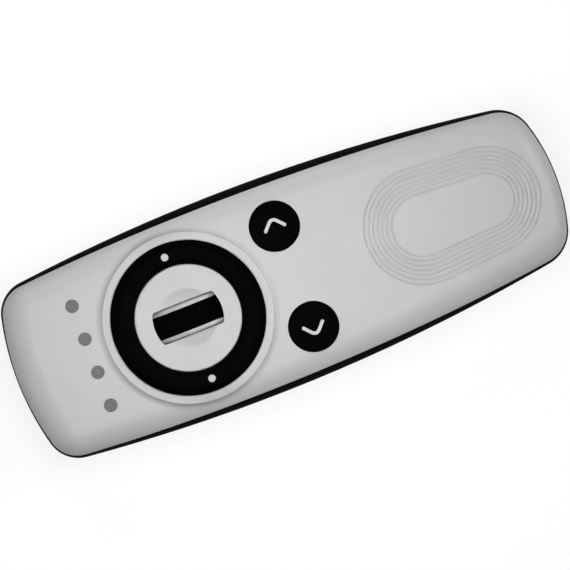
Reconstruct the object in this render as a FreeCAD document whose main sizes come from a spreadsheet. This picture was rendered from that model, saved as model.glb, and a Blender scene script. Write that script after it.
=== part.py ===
import FreeCAD, Part
import math
import os
import Sketcher
from FreeCAD import Placement, Rotation, Vector

# A hand-held remote control for smart home lights: a pillow-shaped body in two shells,
# a press ring round a scroll wheel, two arrow buttons, four lamp windows and an oval-grooved grip.
# Frame: +Y to the lamp end, +X to the right as held, +Z out of the face, z = 0 on the flat underside.

SIZES = {
    # plan outline of the body
    "half_length": 70.0,
    "half_width": 25.4,
    "widest_y": 10.4,
    "side_radius": 463.7,
    "head_radius": 69.3,
    "head_corner": 8.2,
    "tail_radius": 48.0,
    "tail_corner": 9.2,
    # the face, arched along its length and crowned across it
    "crown_height": 21.0,
    "arch_radius": 1200.0,
    "camber_radius": 300.0,
    "top_round": 7.0,
    "under_round": 7.5,
    "cut_margin": 5.0,
    "joint_overlap": 0.2,
    # line where the shells meet, an arch that falls away to both ends
    "parting_height": 18.1,
    "parting_radius": 655.0,
    "wall": 2.0,
    "lap_inset": 1.0,
    "lap_depth": 1.5,
    "lap_fit": 0.06,
    "lap_gap": 0.1,
    # collar and press ring
    "ring_y": 25.7,
    "collar_hole": 18.9,
    "collar_radius": 21.0,
    "collar_rise": 0.55,
    "collar_round": 0.3,
    "ring_outer": 18.6,
    "ring_inner": 13.3,
    "ring_shoulder": 21.1,
    "ring_dome_radius": 9.0,
    "ring_under": 19.4,
    "ring_skirt_inner": 17.4,
    "ring_flange": 19.4,
    "ring_flange_top": 16.9,
    "ring_flange_bottom": 16.1,
    "dot_offset": 15.7,
    "dot_radius": 0.9,
    "dot_depth": 0.8,
    "dot_sink": 0.02,
    "pivot_height": 17.2,
    "pivot_radius": 1.2,
    "pivot_fit": 0.05,
    "pivot_inner": 14.2,
    "pivot_outer": 17.1,
    # centre disc round the wheel
    "disc_radius": 13.0,
    "disc_height": 21.3,
    "disc_edge": 0.35,
    "disc_under": 19.3,
    "dish_depth": 1.5,
    "dish_sphere": 18.0,
    "dish_lip": 2.0,
    "slot_half_width": 4.13,
    "slot_half_length": 8.6,
    "slot_end_radius": 9.8,
    "slot_corner": 0.8,
    "skirt_outer": 12.6,
    "skirt_inner": 10.9,
    # scroll wheel
    "wheel_radius": 10.0,
    "wheel_axis_height": 13.4,
    "tread_half_width": 2.85,
    "tread_thickness": 1.4,
    "shoulder_half_width": 3.87,
    "shoulder_drop": 0.3,
    "shoulder_chamfer": 0.4,
    "rim_thickness": 1.1,
    "web_half_width": 1.5,
    "hub_radius": 3.2,
    "axle_radius": 1.5,
    "axle_fit": 0.05,
    # cradle that carries the wheel and is pressed with it
    "cradle_inner": 4.6,
    "cradle_outer": 6.1,
    "cradle_half_length": 11.6,
    "cradle_bar": 1.2,
    "cradle_bottom": 13.0,
    "cradle_top": 16.9,
    "cheek_radius": 3.8,
    "wing_reach": 11.6,
    "wing_half_length": 2.4,
    "wing_bottom": 14.65,
    "wing_top": 15.9,
    # carrier that holds the disc, the ring's pivots and the cradle
    "carrier_radius": 13.9,
    "carrier_bottom": 16.0,
    "carrier_slot_fit": 0.1,
    "arm_half_width": 2.8,
    "arm_bottom": 14.6,
    "arm_reach": 17.0,
    "leg_offset": 8.0,
    "leg_radius": 1.4,
    "peg_radius": 0.95,
    "peg_fit": 0.05,
    # arrow buttons
    "button_x": 13.05,
    "button_y": -1.8,
    "button_hole": 6.26,
    "button_radius": 6.06,
    "button_height": 21.2,
    "button_edge": 0.5,
    "button_dome_radius": 55.0,
    "button_flange_radius": 7.2,
    "button_flange_top": 17.6,
    "button_flange_bottom": 16.8,
    "button_stem_radius": 2.5,
    # circuit board and its key domes
    "board_top": 12.4,
    "board_thickness": 1.2,
    "board_inset": 2.7,
    "board_tail_gap": 0.5,
    "board_slot_fit": 0.7,
    "dome_height": 2.2,
    "dome_base_radius": 2.9,
    "dome_base_thickness": 0.4,
    "dome_top_radius": 1.7,
    "dome_wall": 0.45,
    "key_gap": 0.05,
    "plunger_radius": 1.5,
    "wheel_dome_offset": 9.8,
    # lamp windows and their lamps
    "lamp_y": 50.9,
    "lamp_inner_x": 4.3,
    "lamp_outer_x": 12.85,
    "lamp_radius": 1.64,
    "lamp_fit": 0.03,
    "guide_bar_reach": 15.4,
    "guide_bar_half": 2.1,
    "guide_clearance": 0.3,
    "guide_bar_thickness": 1.3,
    "guide_foot": 1.2,
    "led_length": 2.0,
    "led_width": 1.2,
    "led_thickness": 0.8,
    # oval grip grooves
    "groove_count": 7,
    "groove_front_setback": 34.7,
    "groove_rear_setback": 17.8,
    "groove_front_radius": 7.58,
    "groove_rear_radius": 6.62,
    "groove_front_pitch": 1.117,
    "groove_rear_pitch": 1.06,
    "groove_width": 0.36,
    "groove_depth": 0.2,
    # battery bay, cells and cover
    "cell_radius": 5.2,
    "cell_length": 44.2,
    "cell_edge": 0.6,
    "cell_nub_radius": 1.9,
    "cell_nub_length": 0.9,
    "cell_x": 5.6,
    "cell_gap": 0.4,
    "cell_lift": 0.9,
    "bay_setback": 7.5,
    "bay_wall": 1.3,
    "bay_roof": 1.2,
    "contact_depth": 2.3,
    "contact_thickness": 0.4,
    "contact_return": 0.24,
    "contact_width": 7.0,
    "contact_height": 8.0,
    "cover_thickness": 1.5,
    "cover_margin": 0.9,
    "cover_front_margin": 0.9,
    "cover_fit": 0.1,
    "cover_lip_length": 10.0,
    "cover_lip_margin": 0.2,
    "cover_lip_height": 7.6,
    "rail_reach": 1.1,
    "rail_bottom": 0.7,
    "rail_thickness": 0.7,
    "rail_root": 0.3,
    "rail_tail": 2.0,
    "rail_front_setback": 3.5,
    "rib_half_length": 7.0,
    "rib_width": 0.9,
    "rib_pitch": 2.0,
    "rib_count": 5,
    "rib_depth": 0.5,
    "rib_setback": 13.4,
    # screws and their bosses
    "head_boss_x": 17.5,
    "head_boss_y": 47.0,
    "tail_boss_x": 17.0,
    "tail_boss_setback": 6.5,
    "boss_radius": 2.6,
    "boss_clearance": 0.3,
    "boss_meet_height": 9.0,
    "tower_radius": 3.3,
    "screw_seat_height": 5.0,
    "screw_head_radius": 1.9,
    "screw_head_height": 1.3,
    "screw_radius": 0.95,
    "screw_length": 9.0,
    "screw_fit": 0.15,
    "screw_bite": 0.02,
    "screw_tip_gap": 0.5,
    "recess_fit": 0.4,
    "board_screw_x": 18.2,
    "board_screw_setback": 5.4,
    "board_screw_head_x": 12.0,
    "board_screw_head_setback": 11.5,
    "board_screw_length": 5.5,
    "post_radius": 2.3,
    # parts on the board
    "radio_length": 16.0,
    "radio_width": 12.0,
    "radio_thickness": 1.9,
    "radio_y": 50.0,
    "chip_side": 7.0,
    "chip_thickness": 0.9,
    "chip_y": 2.5,
    "antenna_length": 7.0,
    "antenna_width": 2.4,
    "antenna_thickness": 1.0,
    "antenna_setback": 6.5,
    "sensor_side": 2.4,
    "sensor_thickness": 1.0,
    "sensor_x": 8.9,
    "sensor_drop": 4.6,
}

DOC = FreeCAD.newDocument("remote_control")
SHEET = DOC.addObject("Spreadsheet::Sheet", "Sizes")


class Size:
    """A length that keeps the sheet expression it comes from."""

    def __init__(self, value, text):
        self.value = float(value)
        self.text = text

    def __add__(self, other):
        other = sized(other)
        return Size(self.value + other.value, f"({self.text} + {other.text})")

    def __sub__(self, other):
        other = sized(other)
        return Size(self.value - other.value, f"({self.text} - {other.text})")

    def __mul__(self, other):
        other = sized(other)
        return Size(self.value * other.value, f"({self.text} * {other.text})")

    def __truediv__(self, other):
        other = sized(other)
        return Size(self.value / other.value, f"({self.text} / {other.text})")

    def __radd__(self, other):
        return sized(other) + self

    def __rsub__(self, other):
        return sized(other) - self

    def __rmul__(self, other):
        return sized(other) * self

    def __neg__(self):
        return Size(-self.value, f"(-{self.text})")


def sized(number):
    if isinstance(number, Size):
        return number
    return Size(number, repr(float(number)))


def root(size):
    return Size(math.sqrt(size.value), f"sqrt({size.text})")


class SizeTable:
    """The sheet's cells by their aliases."""


def fill_sheet():
    table = SizeTable()
    for row, (name, value) in enumerate(SIZES.items(), start=1):
        SHEET.set(f"A{row}", name)
        SHEET.set(f"B{row}", str(value))
        SHEET.setAlias(f"B{row}", name)
        setattr(table, name, Size(value, f"Sizes.{name}"))
    DOC.recompute()
    return table


D = fill_sheet()


# Sketches and features

def new_body(label):
    body = DOC.addObject("PartDesign::Body", label)
    body.Label = label
    return body


def place(thing, x=0, y=0, z=0, rotation=None):
    """Puts a finished piece in the remote's frame."""
    centre = [sized(x), sized(y), sized(z)]
    thing.Placement = Placement(Vector(*[part.value for part in centre]), rotation or Rotation())
    for axis, part in zip("xyz", centre):
        thing.setExpression(f"Placement.Base.{axis}", part.text)
    return thing


def new_sketch(body, name, role="XY_Plane", lift=0):
    sketch = body.newObject("Sketcher::SketchObject", name)
    plane = next(feature for feature in body.Origin.OriginFeatures if feature.Role == role)
    sketch.AttachmentSupport = [(plane, "")]
    sketch.MapMode = "FlatFace"
    lift = sized(lift)
    sketch.AttachmentOffset = Placement(Vector(0, 0, lift.value), Rotation())
    sketch.setExpression("AttachmentOffset.Base.z", lift.text)
    return sketch


def dimension(sketch, kind, where, size):
    index = sketch.addConstraint(Sketcher.Constraint(kind, *where, size.value))
    sketch.setExpression(f"Constraints[{index}]", size.text)


def pin_point(sketch, edge, end, x, y):
    """Holds one end (or the centre, 3) of an edge at x, y from the sketch's origin."""
    for kind, size, axis in (("DistanceX", x, -2), ("DistanceY", y, -1)):
        if isinstance(size, Size):
            dimension(sketch, kind, (-1, 1, edge, end), size)
        elif size == 0:
            sketch.addConstraint(Sketcher.Constraint("PointOnObject", edge, end, axis))
        else:
            dimension(sketch, kind, (-1, 1, edge, end), sized(size))


def bend(start, end, radius):
    """The arc from start to end, with its centre to the left for a positive radius."""
    chord = end - start
    middle = (start + end) * 0.5
    rise = math.sqrt(radius * radius - chord.Length ** 2 / 4)
    side = Vector(-chord.y, chord.x, 0).normalize()
    centre = middle + side * math.copysign(rise, radius)
    circle = Part.Circle(centre, Vector(0, 0, 1), abs(radius))
    angles = [math.atan2(point.y - centre.y, point.x - centre.x) for point in (start, end)]
    if radius < 0:
        angles.reverse()
    if angles[1] < angles[0]:
        angles[1] += 2 * math.pi
    return Part.ArcOfCircle(circle, *angles)


def draw_loop(sketch, points):
    """Closed loop through points (x, y), or (x, y, radius) where the next stretch is an arc."""
    spots = [Vector(sized(point[0]).value, sized(point[1]).value, 0) for point in points]
    edges = []
    starts = []
    for number, point in enumerate(points):
        start, end = spots[number], spots[(number + 1) % len(spots)]
        if len(point) == 3:
            edges.append(bend(start, end, sized(point[2]).value))
            starts.append(1 if sized(point[2]).value > 0 else 2)
        else:
            edges.append(Part.LineSegment(start, end))
            starts.append(1)
    ids = sketch.addGeometry(edges, False)
    for number, point in enumerate(points):
        following = (number + 1) % len(points)
        end = 3 - starts[number]
        join = Sketcher.Constraint("Coincident", ids[number], end, ids[following], starts[following])
        sketch.addConstraint(join)
    for number, point in enumerate(points):
        pin_point(sketch, ids[number], starts[number], point[0], point[1])
        if len(point) == 3:
            radius = sized(point[2])
            dimension(sketch, "Radius", (ids[number],), radius if radius.value > 0 else -radius)


def draw_box(sketch, x_low, x_high, y_low, y_high):
    draw_loop(sketch, [(x_low, y_low), (x_high, y_low), (x_high, y_high), (x_low, y_high)])


def draw_circle(sketch, x, y, radius):
    spot = Vector(sized(x).value, sized(y).value, 0)
    edge = sketch.addGeometry(Part.Circle(spot, Vector(0, 0, 1), radius.value), False)
    pin_point(sketch, edge, 3, x, y)
    dimension(sketch, "Radius", (edge,), radius)


def extrude(body, kind, sketch, length=None, both_ways=False, reverse=False):
    """A Pad or Pocket of the sketch; with no length it goes through the whole body."""
    feature = body.newObject(f"PartDesign::{kind}", f"{sketch.Name}_{kind.lower()}")
    feature.Profile = sketch
    if length is None:
        feature.Type = "ThroughAll"
    else:
        feature.Length = length.value
        feature.setExpression("Length", length.text)
    feature.Midplane = both_ways
    feature.Reversed = reverse
    sketch.Visibility = False
    return feature


def prism(body, name, loops, low, high):
    """Pads the drawn loops from one height to another."""
    sketch = new_sketch(body, name, lift=low)
    for draw, *numbers in loops:
        draw(sketch, *numbers)
    return extrude(body, "Pad", sketch, sized(high) - low)


def spin(body, kind, sketch):
    """A full Revolution or Groove of the sketch about its own vertical axis."""
    feature = body.newObject(f"PartDesign::{kind}", f"{sketch.Name}_{kind.lower()}")
    feature.Profile = sketch
    feature.ReferenceAxis = (sketch, ["V_Axis"])
    feature.Angle = 360
    sketch.Visibility = False
    return feature


def turned(label, points):
    """A piece of revolution about Z from its (radius, height) profile."""
    body = new_body(label)
    sketch = new_sketch(body, f"{label}_profile", "XZ_Plane")
    draw_loop(sketch, points)
    spin(body, "Revolution", sketch)
    return body


def common(label, first, second):
    meet = DOC.addObject("Part::Common", label)
    meet.Base = first
    meet.Tool = second
    meet.Label = label
    return meet


def cut(label, base, tool):
    less = DOC.addObject("Part::Cut", label)
    less.Base = base
    less.Tool = tool
    less.Label = label
    return less


def fuse(label, pieces):
    whole = DOC.addObject("Part::MultiFuse", label)
    whole.Shapes = pieces
    whole.Label = label
    return whole


# Body form shared by both shells

CROWN_TURN = 16.0
EDGE_TEST_GAP = 0.01


def draw_outline(sketch, inset):
    """The plan outline: four large arcs joined by rounded corners, all tangent."""
    half_width = D.half_width - inset
    side = D.side_radius - inset
    ends = {
        "head": (D.half_length - D.head_radius, D.head_radius - inset, D.head_corner - inset),
        "tail": (D.tail_radius - D.half_length, D.tail_radius - inset, D.tail_corner - inset),
    }
    right = Vector((half_width - side).value, D.widest_y.value, 0)
    spots = {}
    for name, (y, radius, corner) in ends.items():
        towards = 1 if name == "head" else -1
        centre = Vector(0, y.value, 0)
        reach = centre - right
        span = reach.Length
        along = ((side.value - corner.value) ** 2 - (radius.value - corner.value) ** 2 + span ** 2)
        along /= 2 * span
        across = math.sqrt((side.value - corner.value) ** 2 - along ** 2)
        foot = right + reach * (along / span)
        turn = Vector(-reach.y, reach.x, 0) * (across / span)
        spot = max(foot + turn, foot - turn, key=lambda point: point.y * towards)
        side_angle = math.atan2(spot.y - right.y, spot.x - right.x)
        end_angle = math.atan2(spot.y - centre.y, spot.x)
        spots[name] = (spot, side_angle, end_angle)
    head, head_side, head_end = spots["head"]
    tail, tail_side, tail_end = spots["tail"]
    left = Vector(-right.x, right.y, 0)
    half_turn = math.pi

    def arc(centre, radius, start, end):
        return Part.ArcOfCircle(Part.Circle(centre, Vector(0, 0, 1), radius.value), start, end)

    head_y, head_radius, head_corner = ends["head"]
    tail_y, tail_radius, tail_corner = ends["tail"]
    edges = sketch.addGeometry([
        arc(right, side, tail_side, head_side),
        arc(head, head_corner, head_side, head_end),
        arc(Vector(0, head_y.value, 0), head_radius, head_end, half_turn - head_end),
        arc(Vector(-head.x, head.y, 0), head_corner, half_turn - head_end, half_turn - head_side),
        arc(left, side, half_turn - head_side, half_turn - tail_side),
        arc(Vector(-tail.x, tail.y, 0), tail_corner, half_turn - tail_side, half_turn - tail_end),
        arc(Vector(0, tail_y.value, 0), tail_radius, half_turn - tail_end, 2 * half_turn + tail_end),
        arc(tail, tail_corner, 2 * half_turn + tail_end, 2 * half_turn + tail_side),
    ], False)
    for number, edge in enumerate(edges):
        following = edges[(number + 1) % len(edges)]
        sketch.addConstraint(Sketcher.Constraint("Tangent", edge, 2, following, 1))
    radii = (side, head_corner, head_radius, head_corner, side, tail_corner, tail_radius, tail_corner)
    for edge, radius in zip(edges, radii):
        dimension(sketch, "Radius", (edge,), radius)
    pin_point(sketch, edges[0], 3, half_width - side, D.widest_y)
    pin_point(sketch, edges[4], 3, side - half_width, D.widest_y)
    pin_point(sketch, edges[2], 3, 0, head_y)
    pin_point(sketch, edges[6], 3, 0, tail_y)


def fillet_edges(body, base, name, radius, wanted):
    """Rounds the base feature's edges that the test picks out."""
    DOC.recompute()
    edges = [f"Edge{number}" for number, edge in enumerate(base.Shape.Edges, start=1) if wanted(edge)]
    rounding = body.newObject("PartDesign::Fillet", name)
    rounding.Base = (base, edges)
    rounding.Radius = radius.value
    rounding.setExpression("Radius", radius.text)
    return rounding


def pillow(label, inset):
    """The body's closed form, drawn in from the outside by the inset."""
    inset = sized(inset)
    body = new_body(label)
    plan = new_sketch(body, f"{label}_plan", lift=inset)
    draw_outline(plan, inset)
    extrude(body, "Pad", plan, D.crown_height + D.cut_margin)

    crown = D.crown_height - inset
    camber = D.camber_radius - inset
    reach = D.half_width + D.cut_margin
    shoulder = crown - camber + root(camber * camber - reach * reach)
    over = D.crown_height * 2
    section = new_sketch(body, f"{label}_crown", "XZ_Plane")
    draw_loop(section, [
        (reach, shoulder, camber),
        (-reach, shoulder),
        (-reach, over),
        (reach, over),
    ])
    axis_height = D.crown_height - D.arch_radius
    axis = section.addGeometry(
        Part.LineSegment(Vector(-reach.value, axis_height.value, 0),
                         Vector(reach.value, axis_height.value, 0)), True)
    pin_point(section, axis, 1, -reach, axis_height)
    pin_point(section, axis, 2, reach, axis_height)
    crowning = body.newObject("PartDesign::Groove", f"{label}_crowning")
    crowning.Profile = section
    crowning.ReferenceAxis = (section, ["Axis0"])
    crowning.Angle = CROWN_TURN
    crowning.Midplane = True
    section.Visibility = False

    half_way = D.crown_height.value / 2
    top = fillet_edges(body, crowning, f"{label}_top_round", D.top_round - inset,
                       lambda edge: edge.BoundBox.ZMin > half_way)
    floor = inset.value + EDGE_TEST_GAP
    fillet_edges(body, top, f"{label}_under_round", D.under_round - inset,
                 lambda edge: edge.BoundBox.ZMax < floor)
    return body


def above_parting(label, drop):
    """All that lies above the arched line where the shells meet, lowered by the drop."""
    body = new_body(label)
    reach = D.half_length + D.cut_margin
    crest = D.parting_height - drop
    ends = crest - D.parting_radius + root(D.parting_radius * D.parting_radius - reach * reach)
    over = D.crown_height * 2
    side = new_sketch(body, f"{label}_side", "YZ_Plane")
    draw_loop(side, [
        (reach, ends, D.parting_radius),
        (-reach, ends),
        (-reach, over),
        (reach, over),
    ])
    extrude(body, "Pad", side, (D.half_width + D.cut_margin) * 2, both_ways=True)
    return body


def rods(label, spots, radius, low, high):
    """Upright round rods at the given spots, as one body."""
    body = new_body(label)
    prism(body, f"{label}_plan", [(draw_circle, x, y, radius) for x, y in spots], low, high)
    return body


def mirrored_spots(*pairs):
    return [(side * x, y) for x, y in pairs for side in (1, -1)]


BODY_FORM = pillow("body_form", 0)
LAP_FORM = pillow("lap_form", D.lap_inset)
TONGUE_FORM = pillow("tongue_form", D.lap_inset + D.lap_fit)
CAVITY_FORM = pillow("cavity_form", D.wall)
GROOVE_FLOOR_FORM = pillow("groove_floor_form", D.groove_depth)
COVER_SKIN_FORM = pillow("cover_skin_form", D.cover_thickness)

BAY_REAR_Y = D.bay_setback - D.half_length
BAY_FRONT_Y = BAY_REAR_Y + D.cell_length + D.contact_depth * 2 + D.cell_gap / 2
BAY_HALF_WIDTH = D.cell_x + D.cell_radius + D.cell_gap
CELL_HEIGHT = D.cover_thickness + D.cell_lift + D.cell_radius
BAY_CEILING = CELL_HEIGHT + D.cell_radius + D.cell_gap
COVER_HALF_WIDTH = BAY_HALF_WIDTH + D.cover_margin
COVER_FRONT_Y = BAY_FRONT_Y + D.cover_front_margin
LIP_HALF_WIDTH = COVER_HALF_WIDTH + D.rail_reach + D.cover_lip_margin
LIP_Y = D.cover_lip_length - D.half_length

BOARD_BOTTOM = D.board_top - D.board_thickness
BOARD_TAIL_Y = BAY_FRONT_Y + D.bay_wall + D.board_tail_gap
DOME_TOP = D.board_top + D.dome_height
KEY_FOOT = DOME_TOP + D.key_gap
PILOT_RADIUS = D.screw_radius + D.screw_bite

RING_CENTRE = (0, D.ring_y)
BUTTON_SPOTS = mirrored_spots((D.button_x, D.button_y))
LAMP_SPOTS = mirrored_spots((D.lamp_inner_x, D.lamp_y), (D.lamp_outer_x, D.lamp_y))
SHELL_BOSS_SPOTS = mirrored_spots((D.head_boss_x, D.head_boss_y),
                                  (D.tail_boss_x, BAY_FRONT_Y - D.tail_boss_setback))
BOARD_POST_SPOTS = mirrored_spots((D.board_screw_x, BOARD_TAIL_Y + D.board_screw_setback),
                                  (D.board_screw_head_x, D.half_length - D.board_screw_head_setback))
GROOVE_FRONT_Y = D.groove_front_setback - D.half_length
GROOVE_REAR_Y = D.groove_rear_setback - D.half_length


# Top shell with its collar, openings, bosses and grip grooves

def collar():
    """The raised round land that frames the press ring and follows the face."""
    body = pillow("collar_land", -D.collar_rise)
    reach_x = D.half_width + D.cut_margin
    reach_y = D.half_length + D.cut_margin
    plan = new_sketch(body, "collar_plan", lift=D.crown_height + D.cut_margin)
    draw_box(plan, -reach_x, reach_x, -reach_y, reach_y)
    draw_circle(plan, 0, D.ring_y, D.collar_radius)
    draw_circle(plan, 0, D.ring_y, D.collar_hole)
    trimmed = extrude(body, "Pocket", plan)
    half_way = D.crown_height.value / 2

    def is_rim(edge):
        reaches = [math.hypot(spot.x, spot.y - D.ring_y.value) for spot in edge.discretize(5)]
        on_wall = any(max(abs(reach - wall) for reach in reaches) < EDGE_TEST_GAP
                      for wall in (D.collar_radius.value, D.collar_hole.value))
        return on_wall and edge.BoundBox.ZMin > half_way and edge.BoundBox.ZLength < D.top_round.value

    fillet_edges(body, trimmed, "collar_rounds", D.collar_round, is_rim)
    upper = rods("collar_upper_part", [RING_CENTRE], D.collar_radius + D.cut_margin,
                 D.boss_meet_height, D.crown_height + D.cut_margin)
    return common("collar", body, upper)


def draw_oval(sketch, front_radius, rear_radius):
    """An obround that narrows to the rear: two round ends joined by tangent lines."""
    lean = math.asin((front_radius.value - rear_radius.value)
                     / (GROOVE_FRONT_Y.value - GROOVE_REAR_Y.value))
    front = Vector(0, GROOVE_FRONT_Y.value, 0)
    rear = Vector(0, GROOVE_REAR_Y.value, 0)

    def spot(centre, radius, side):
        return centre + Vector(side * math.cos(lean), math.sin(lean), 0) * radius.value

    def end_arc(centre, radius, start, end):
        return Part.ArcOfCircle(Part.Circle(centre, Vector(0, 0, 1), radius.value), start, end)

    front_end, left_side, rear_end, right_side = sketch.addGeometry([
        end_arc(front, front_radius, lean, math.pi - lean),
        Part.LineSegment(spot(front, front_radius, -1), spot(rear, rear_radius, -1)),
        end_arc(rear, rear_radius, math.pi - lean, 2 * math.pi + lean),
        Part.LineSegment(spot(rear, rear_radius, 1), spot(front, front_radius, 1)),
    ], False)
    loop = (front_end, left_side, rear_end, right_side)
    for number, edge in enumerate(loop):
        following = loop[(number + 1) % len(loop)]
        sketch.addConstraint(Sketcher.Constraint("Tangent", edge, 2, following, 1))
    for edge, y, radius in ((front_end, GROOVE_FRONT_Y, front_radius),
                            (rear_end, GROOVE_REAR_Y, rear_radius)):
        pin_point(sketch, edge, 3, 0, y)
        dimension(sketch, "Radius", (edge,), radius)


def grip_grooves():
    """Nested ovals cut to an even depth below the crowned face."""
    body = new_body("grip_oval_walls")
    for number in range(int(D.groove_count.value)):
        front = D.groove_front_radius + D.groove_front_pitch * number
        rear = D.groove_rear_radius + D.groove_rear_pitch * number
        plan = new_sketch(body, f"grip_oval_{number + 1}", lift=D.crown_height - D.top_round)
        draw_oval(plan, front + D.groove_width / 2, rear + D.groove_width / 2)
        draw_oval(plan, front - D.groove_width / 2, rear - D.groove_width / 2)
        extrude(body, "Pad", plan, D.top_round + D.cut_margin)
    return cut("grip_grooves", body, GROOVE_FLOOR_FORM)


def top_shell():
    above = above_parting("above_parting", sized(0))
    above_tongue = above_parting("above_tongue", D.lap_depth)
    skin = common("top_skin", BODY_FORM, above)
    tongue = common("top_tongue", TONGUE_FORM, above_tongue)
    block = fuse("top_block", [skin, tongue, collar()])
    hollow = cut("top_hollow", block, CAVITY_FORM)
    boss_rods = rods("boss_rods", SHELL_BOSS_SPOTS, D.boss_radius, D.boss_meet_height, D.crown_height)
    bosses = common("top_bosses", boss_rods, LAP_FORM)
    bossed = fuse("top_bossed", [hollow, bosses])
    over = D.crown_height + D.cut_margin
    openings = fuse("top_openings", [
        rods("ring_opening", [RING_CENTRE], D.collar_hole, D.boss_meet_height, over),
        rods("button_openings", BUTTON_SPOTS, D.button_hole, D.boss_meet_height, over),
        rods("lamp_openings", LAMP_SPOTS, D.lamp_radius + D.lamp_fit, D.boss_meet_height, over),
        rods("boss_pilots", SHELL_BOSS_SPOTS, PILOT_RADIUS, D.boss_meet_height - D.joint_overlap,
             D.screw_seat_height + D.screw_length + D.screw_tip_gap),
        grip_grooves(),
    ])
    return cut("top_shell", bossed, openings)


# Bottom shell with the battery bay, cover rails, screw towers and board posts

def box_body(label, x_low, x_high, y_low, y_high, low, high):
    body = new_body(label)
    prism(body, f"{label}_plan", [(draw_box, x_low, x_high, y_low, y_high)], low, high)
    return body


def cover_space(label, fit, under, plate_top, lip_top):
    """The cover's plan, grown by the fit: a plate with a wider lip round the tail end."""
    body = new_body(label)
    plate = COVER_HALF_WIDTH + fit
    lip = LIP_HALF_WIDTH + fit
    beyond = -D.half_length - D.cut_margin
    prism(body, f"{label}_plate", [(draw_box, -plate, plate, beyond, COVER_FRONT_Y + fit)],
          under, plate_top)
    prism(body, f"{label}_lip", [(draw_box, -lip, lip, beyond, LIP_Y + fit)], under, lip_top)
    return body


def rail_bars(label, fit):
    """Tongues along both edges of the cover, or grown by the fit the grooves that they run in."""
    body = new_body(label)
    outer = COVER_HALF_WIDTH + D.rail_reach + fit
    inner = COVER_HALF_WIDTH - D.rail_root
    low = D.rail_bottom - fit
    high = D.rail_bottom + D.rail_thickness + fit
    for side in (1, -1):
        edges = (inner, outer) if side > 0 else (-outer, -inner)
        prism(body, f"{label}_{'right' if side > 0 else 'left'}",
              [(draw_box, *edges, LIP_Y - D.rail_tail, BAY_FRONT_Y - D.rail_front_setback + fit)],
              low, high)
    return body


UNDER = -D.cut_margin


def bottom_shell():
    above_lap = above_parting("above_lap", D.lap_depth + D.lap_gap)
    skin = cut("bottom_skin", BODY_FORM, above_parting("above_bottom", sized(0)))
    rebate = common("bottom_rebate", LAP_FORM, above_lap)
    rebated = cut("bottom_rebated", skin, rebate)
    hollow = cut("bottom_hollow", rebated, CAVITY_FORM)
    roof_top = BAY_CEILING + D.bay_roof
    bay_outer = BAY_HALF_WIDTH + D.bay_wall
    fittings = fuse("bottom_fittings", [
        box_body("bay_block", -bay_outer, bay_outer, BAY_REAR_Y - D.bay_wall,
                 BAY_FRONT_Y + D.bay_wall, 0, roof_top),
        rods("screw_towers", SHELL_BOSS_SPOTS, D.tower_radius, sized(0), D.boss_meet_height),
        rods("board_posts", BOARD_POST_SPOTS, D.post_radius, sized(0), BOARD_BOTTOM),
    ])
    fitted = fuse("bottom_fitted", [hollow, common("bottom_inner_fittings", fittings, LAP_FORM)])
    openings = fuse("bottom_openings", [
        box_body("bay_space", -BAY_HALF_WIDTH, BAY_HALF_WIDTH, BAY_REAR_Y, BAY_FRONT_Y,
                 UNDER, BAY_CEILING),
        cover_space("cover_recess", D.cover_fit, UNDER, D.cover_thickness + D.cover_fit,
                    D.cover_lip_height + D.cover_fit),
        rail_bars("rail_grooves", D.cover_fit),
        rods("screw_recesses", SHELL_BOSS_SPOTS, D.screw_head_radius + D.recess_fit, UNDER,
             D.screw_seat_height),
        rods("screw_passages", SHELL_BOSS_SPOTS, D.screw_radius + D.screw_fit, sized(0),
             D.boss_meet_height + D.cut_margin),
        rods("post_pilots", BOARD_POST_SPOTS, PILOT_RADIUS,
             D.board_top - D.board_screw_length - D.screw_tip_gap, D.board_top),
    ])
    return cut("bottom_shell", fitted, openings)


def battery_cover():
    region = cover_space("cover_region", sized(0), UNDER, D.cover_thickness, D.cover_lip_height)
    plate = common("cover_plate", cut("cover_skin", BODY_FORM, COVER_SKIN_FORM), region)
    tongued = fuse("cover_tongued", [plate, rail_bars("cover_tongues", sized(0))])
    ribs = new_body("thumb_grooves")
    plan = new_sketch(ribs, "thumb_groove", lift=UNDER)
    first = COVER_FRONT_Y - D.rib_setback
    draw_box(plan, -D.rib_half_length, D.rib_half_length, first - D.rib_width / 2,
             first + D.rib_width / 2)
    groove = extrude(ribs, "Pad", plan, D.rib_depth - UNDER)
    row = ribs.newObject("PartDesign::LinearPattern", "thumb_groove_row")
    row.Originals = [groove]
    row.Direction = (plan, ["V_Axis"])
    row.Reversed = True
    span = D.rib_pitch * (D.rib_count - 1)
    row.Length = span.value
    row.setExpression("Length", span.text)
    row.Occurrences = int(D.rib_count.value)
    row.setExpression("Occurrences", D.rib_count.text)
    ribs.Tip = row
    return cut("battery_cover", tongued, ribs)


# Batteries and their contacts

def battery_cell(label, side, nub_first):
    body = turned(label, [
        (0, 0),
        (D.cell_radius - D.cell_edge, 0, D.cell_edge),
        (D.cell_radius, D.cell_edge),
        (D.cell_radius, D.cell_length - D.cell_nub_length - D.cell_edge, D.cell_edge),
        (D.cell_radius - D.cell_edge, D.cell_length - D.cell_nub_length),
        (D.cell_nub_radius, D.cell_length - D.cell_nub_length),
        (D.cell_nub_radius, D.cell_length),
        (0, D.cell_length),
    ])
    front_end = BAY_FRONT_Y - D.contact_depth - D.cell_gap / 4
    along = Rotation(Vector(1, 0, 0), -90 if nub_first else 90)
    start = front_end - D.cell_length if nub_first else front_end
    return place(body, side * D.cell_x, start, CELL_HEIGHT, along)


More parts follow.
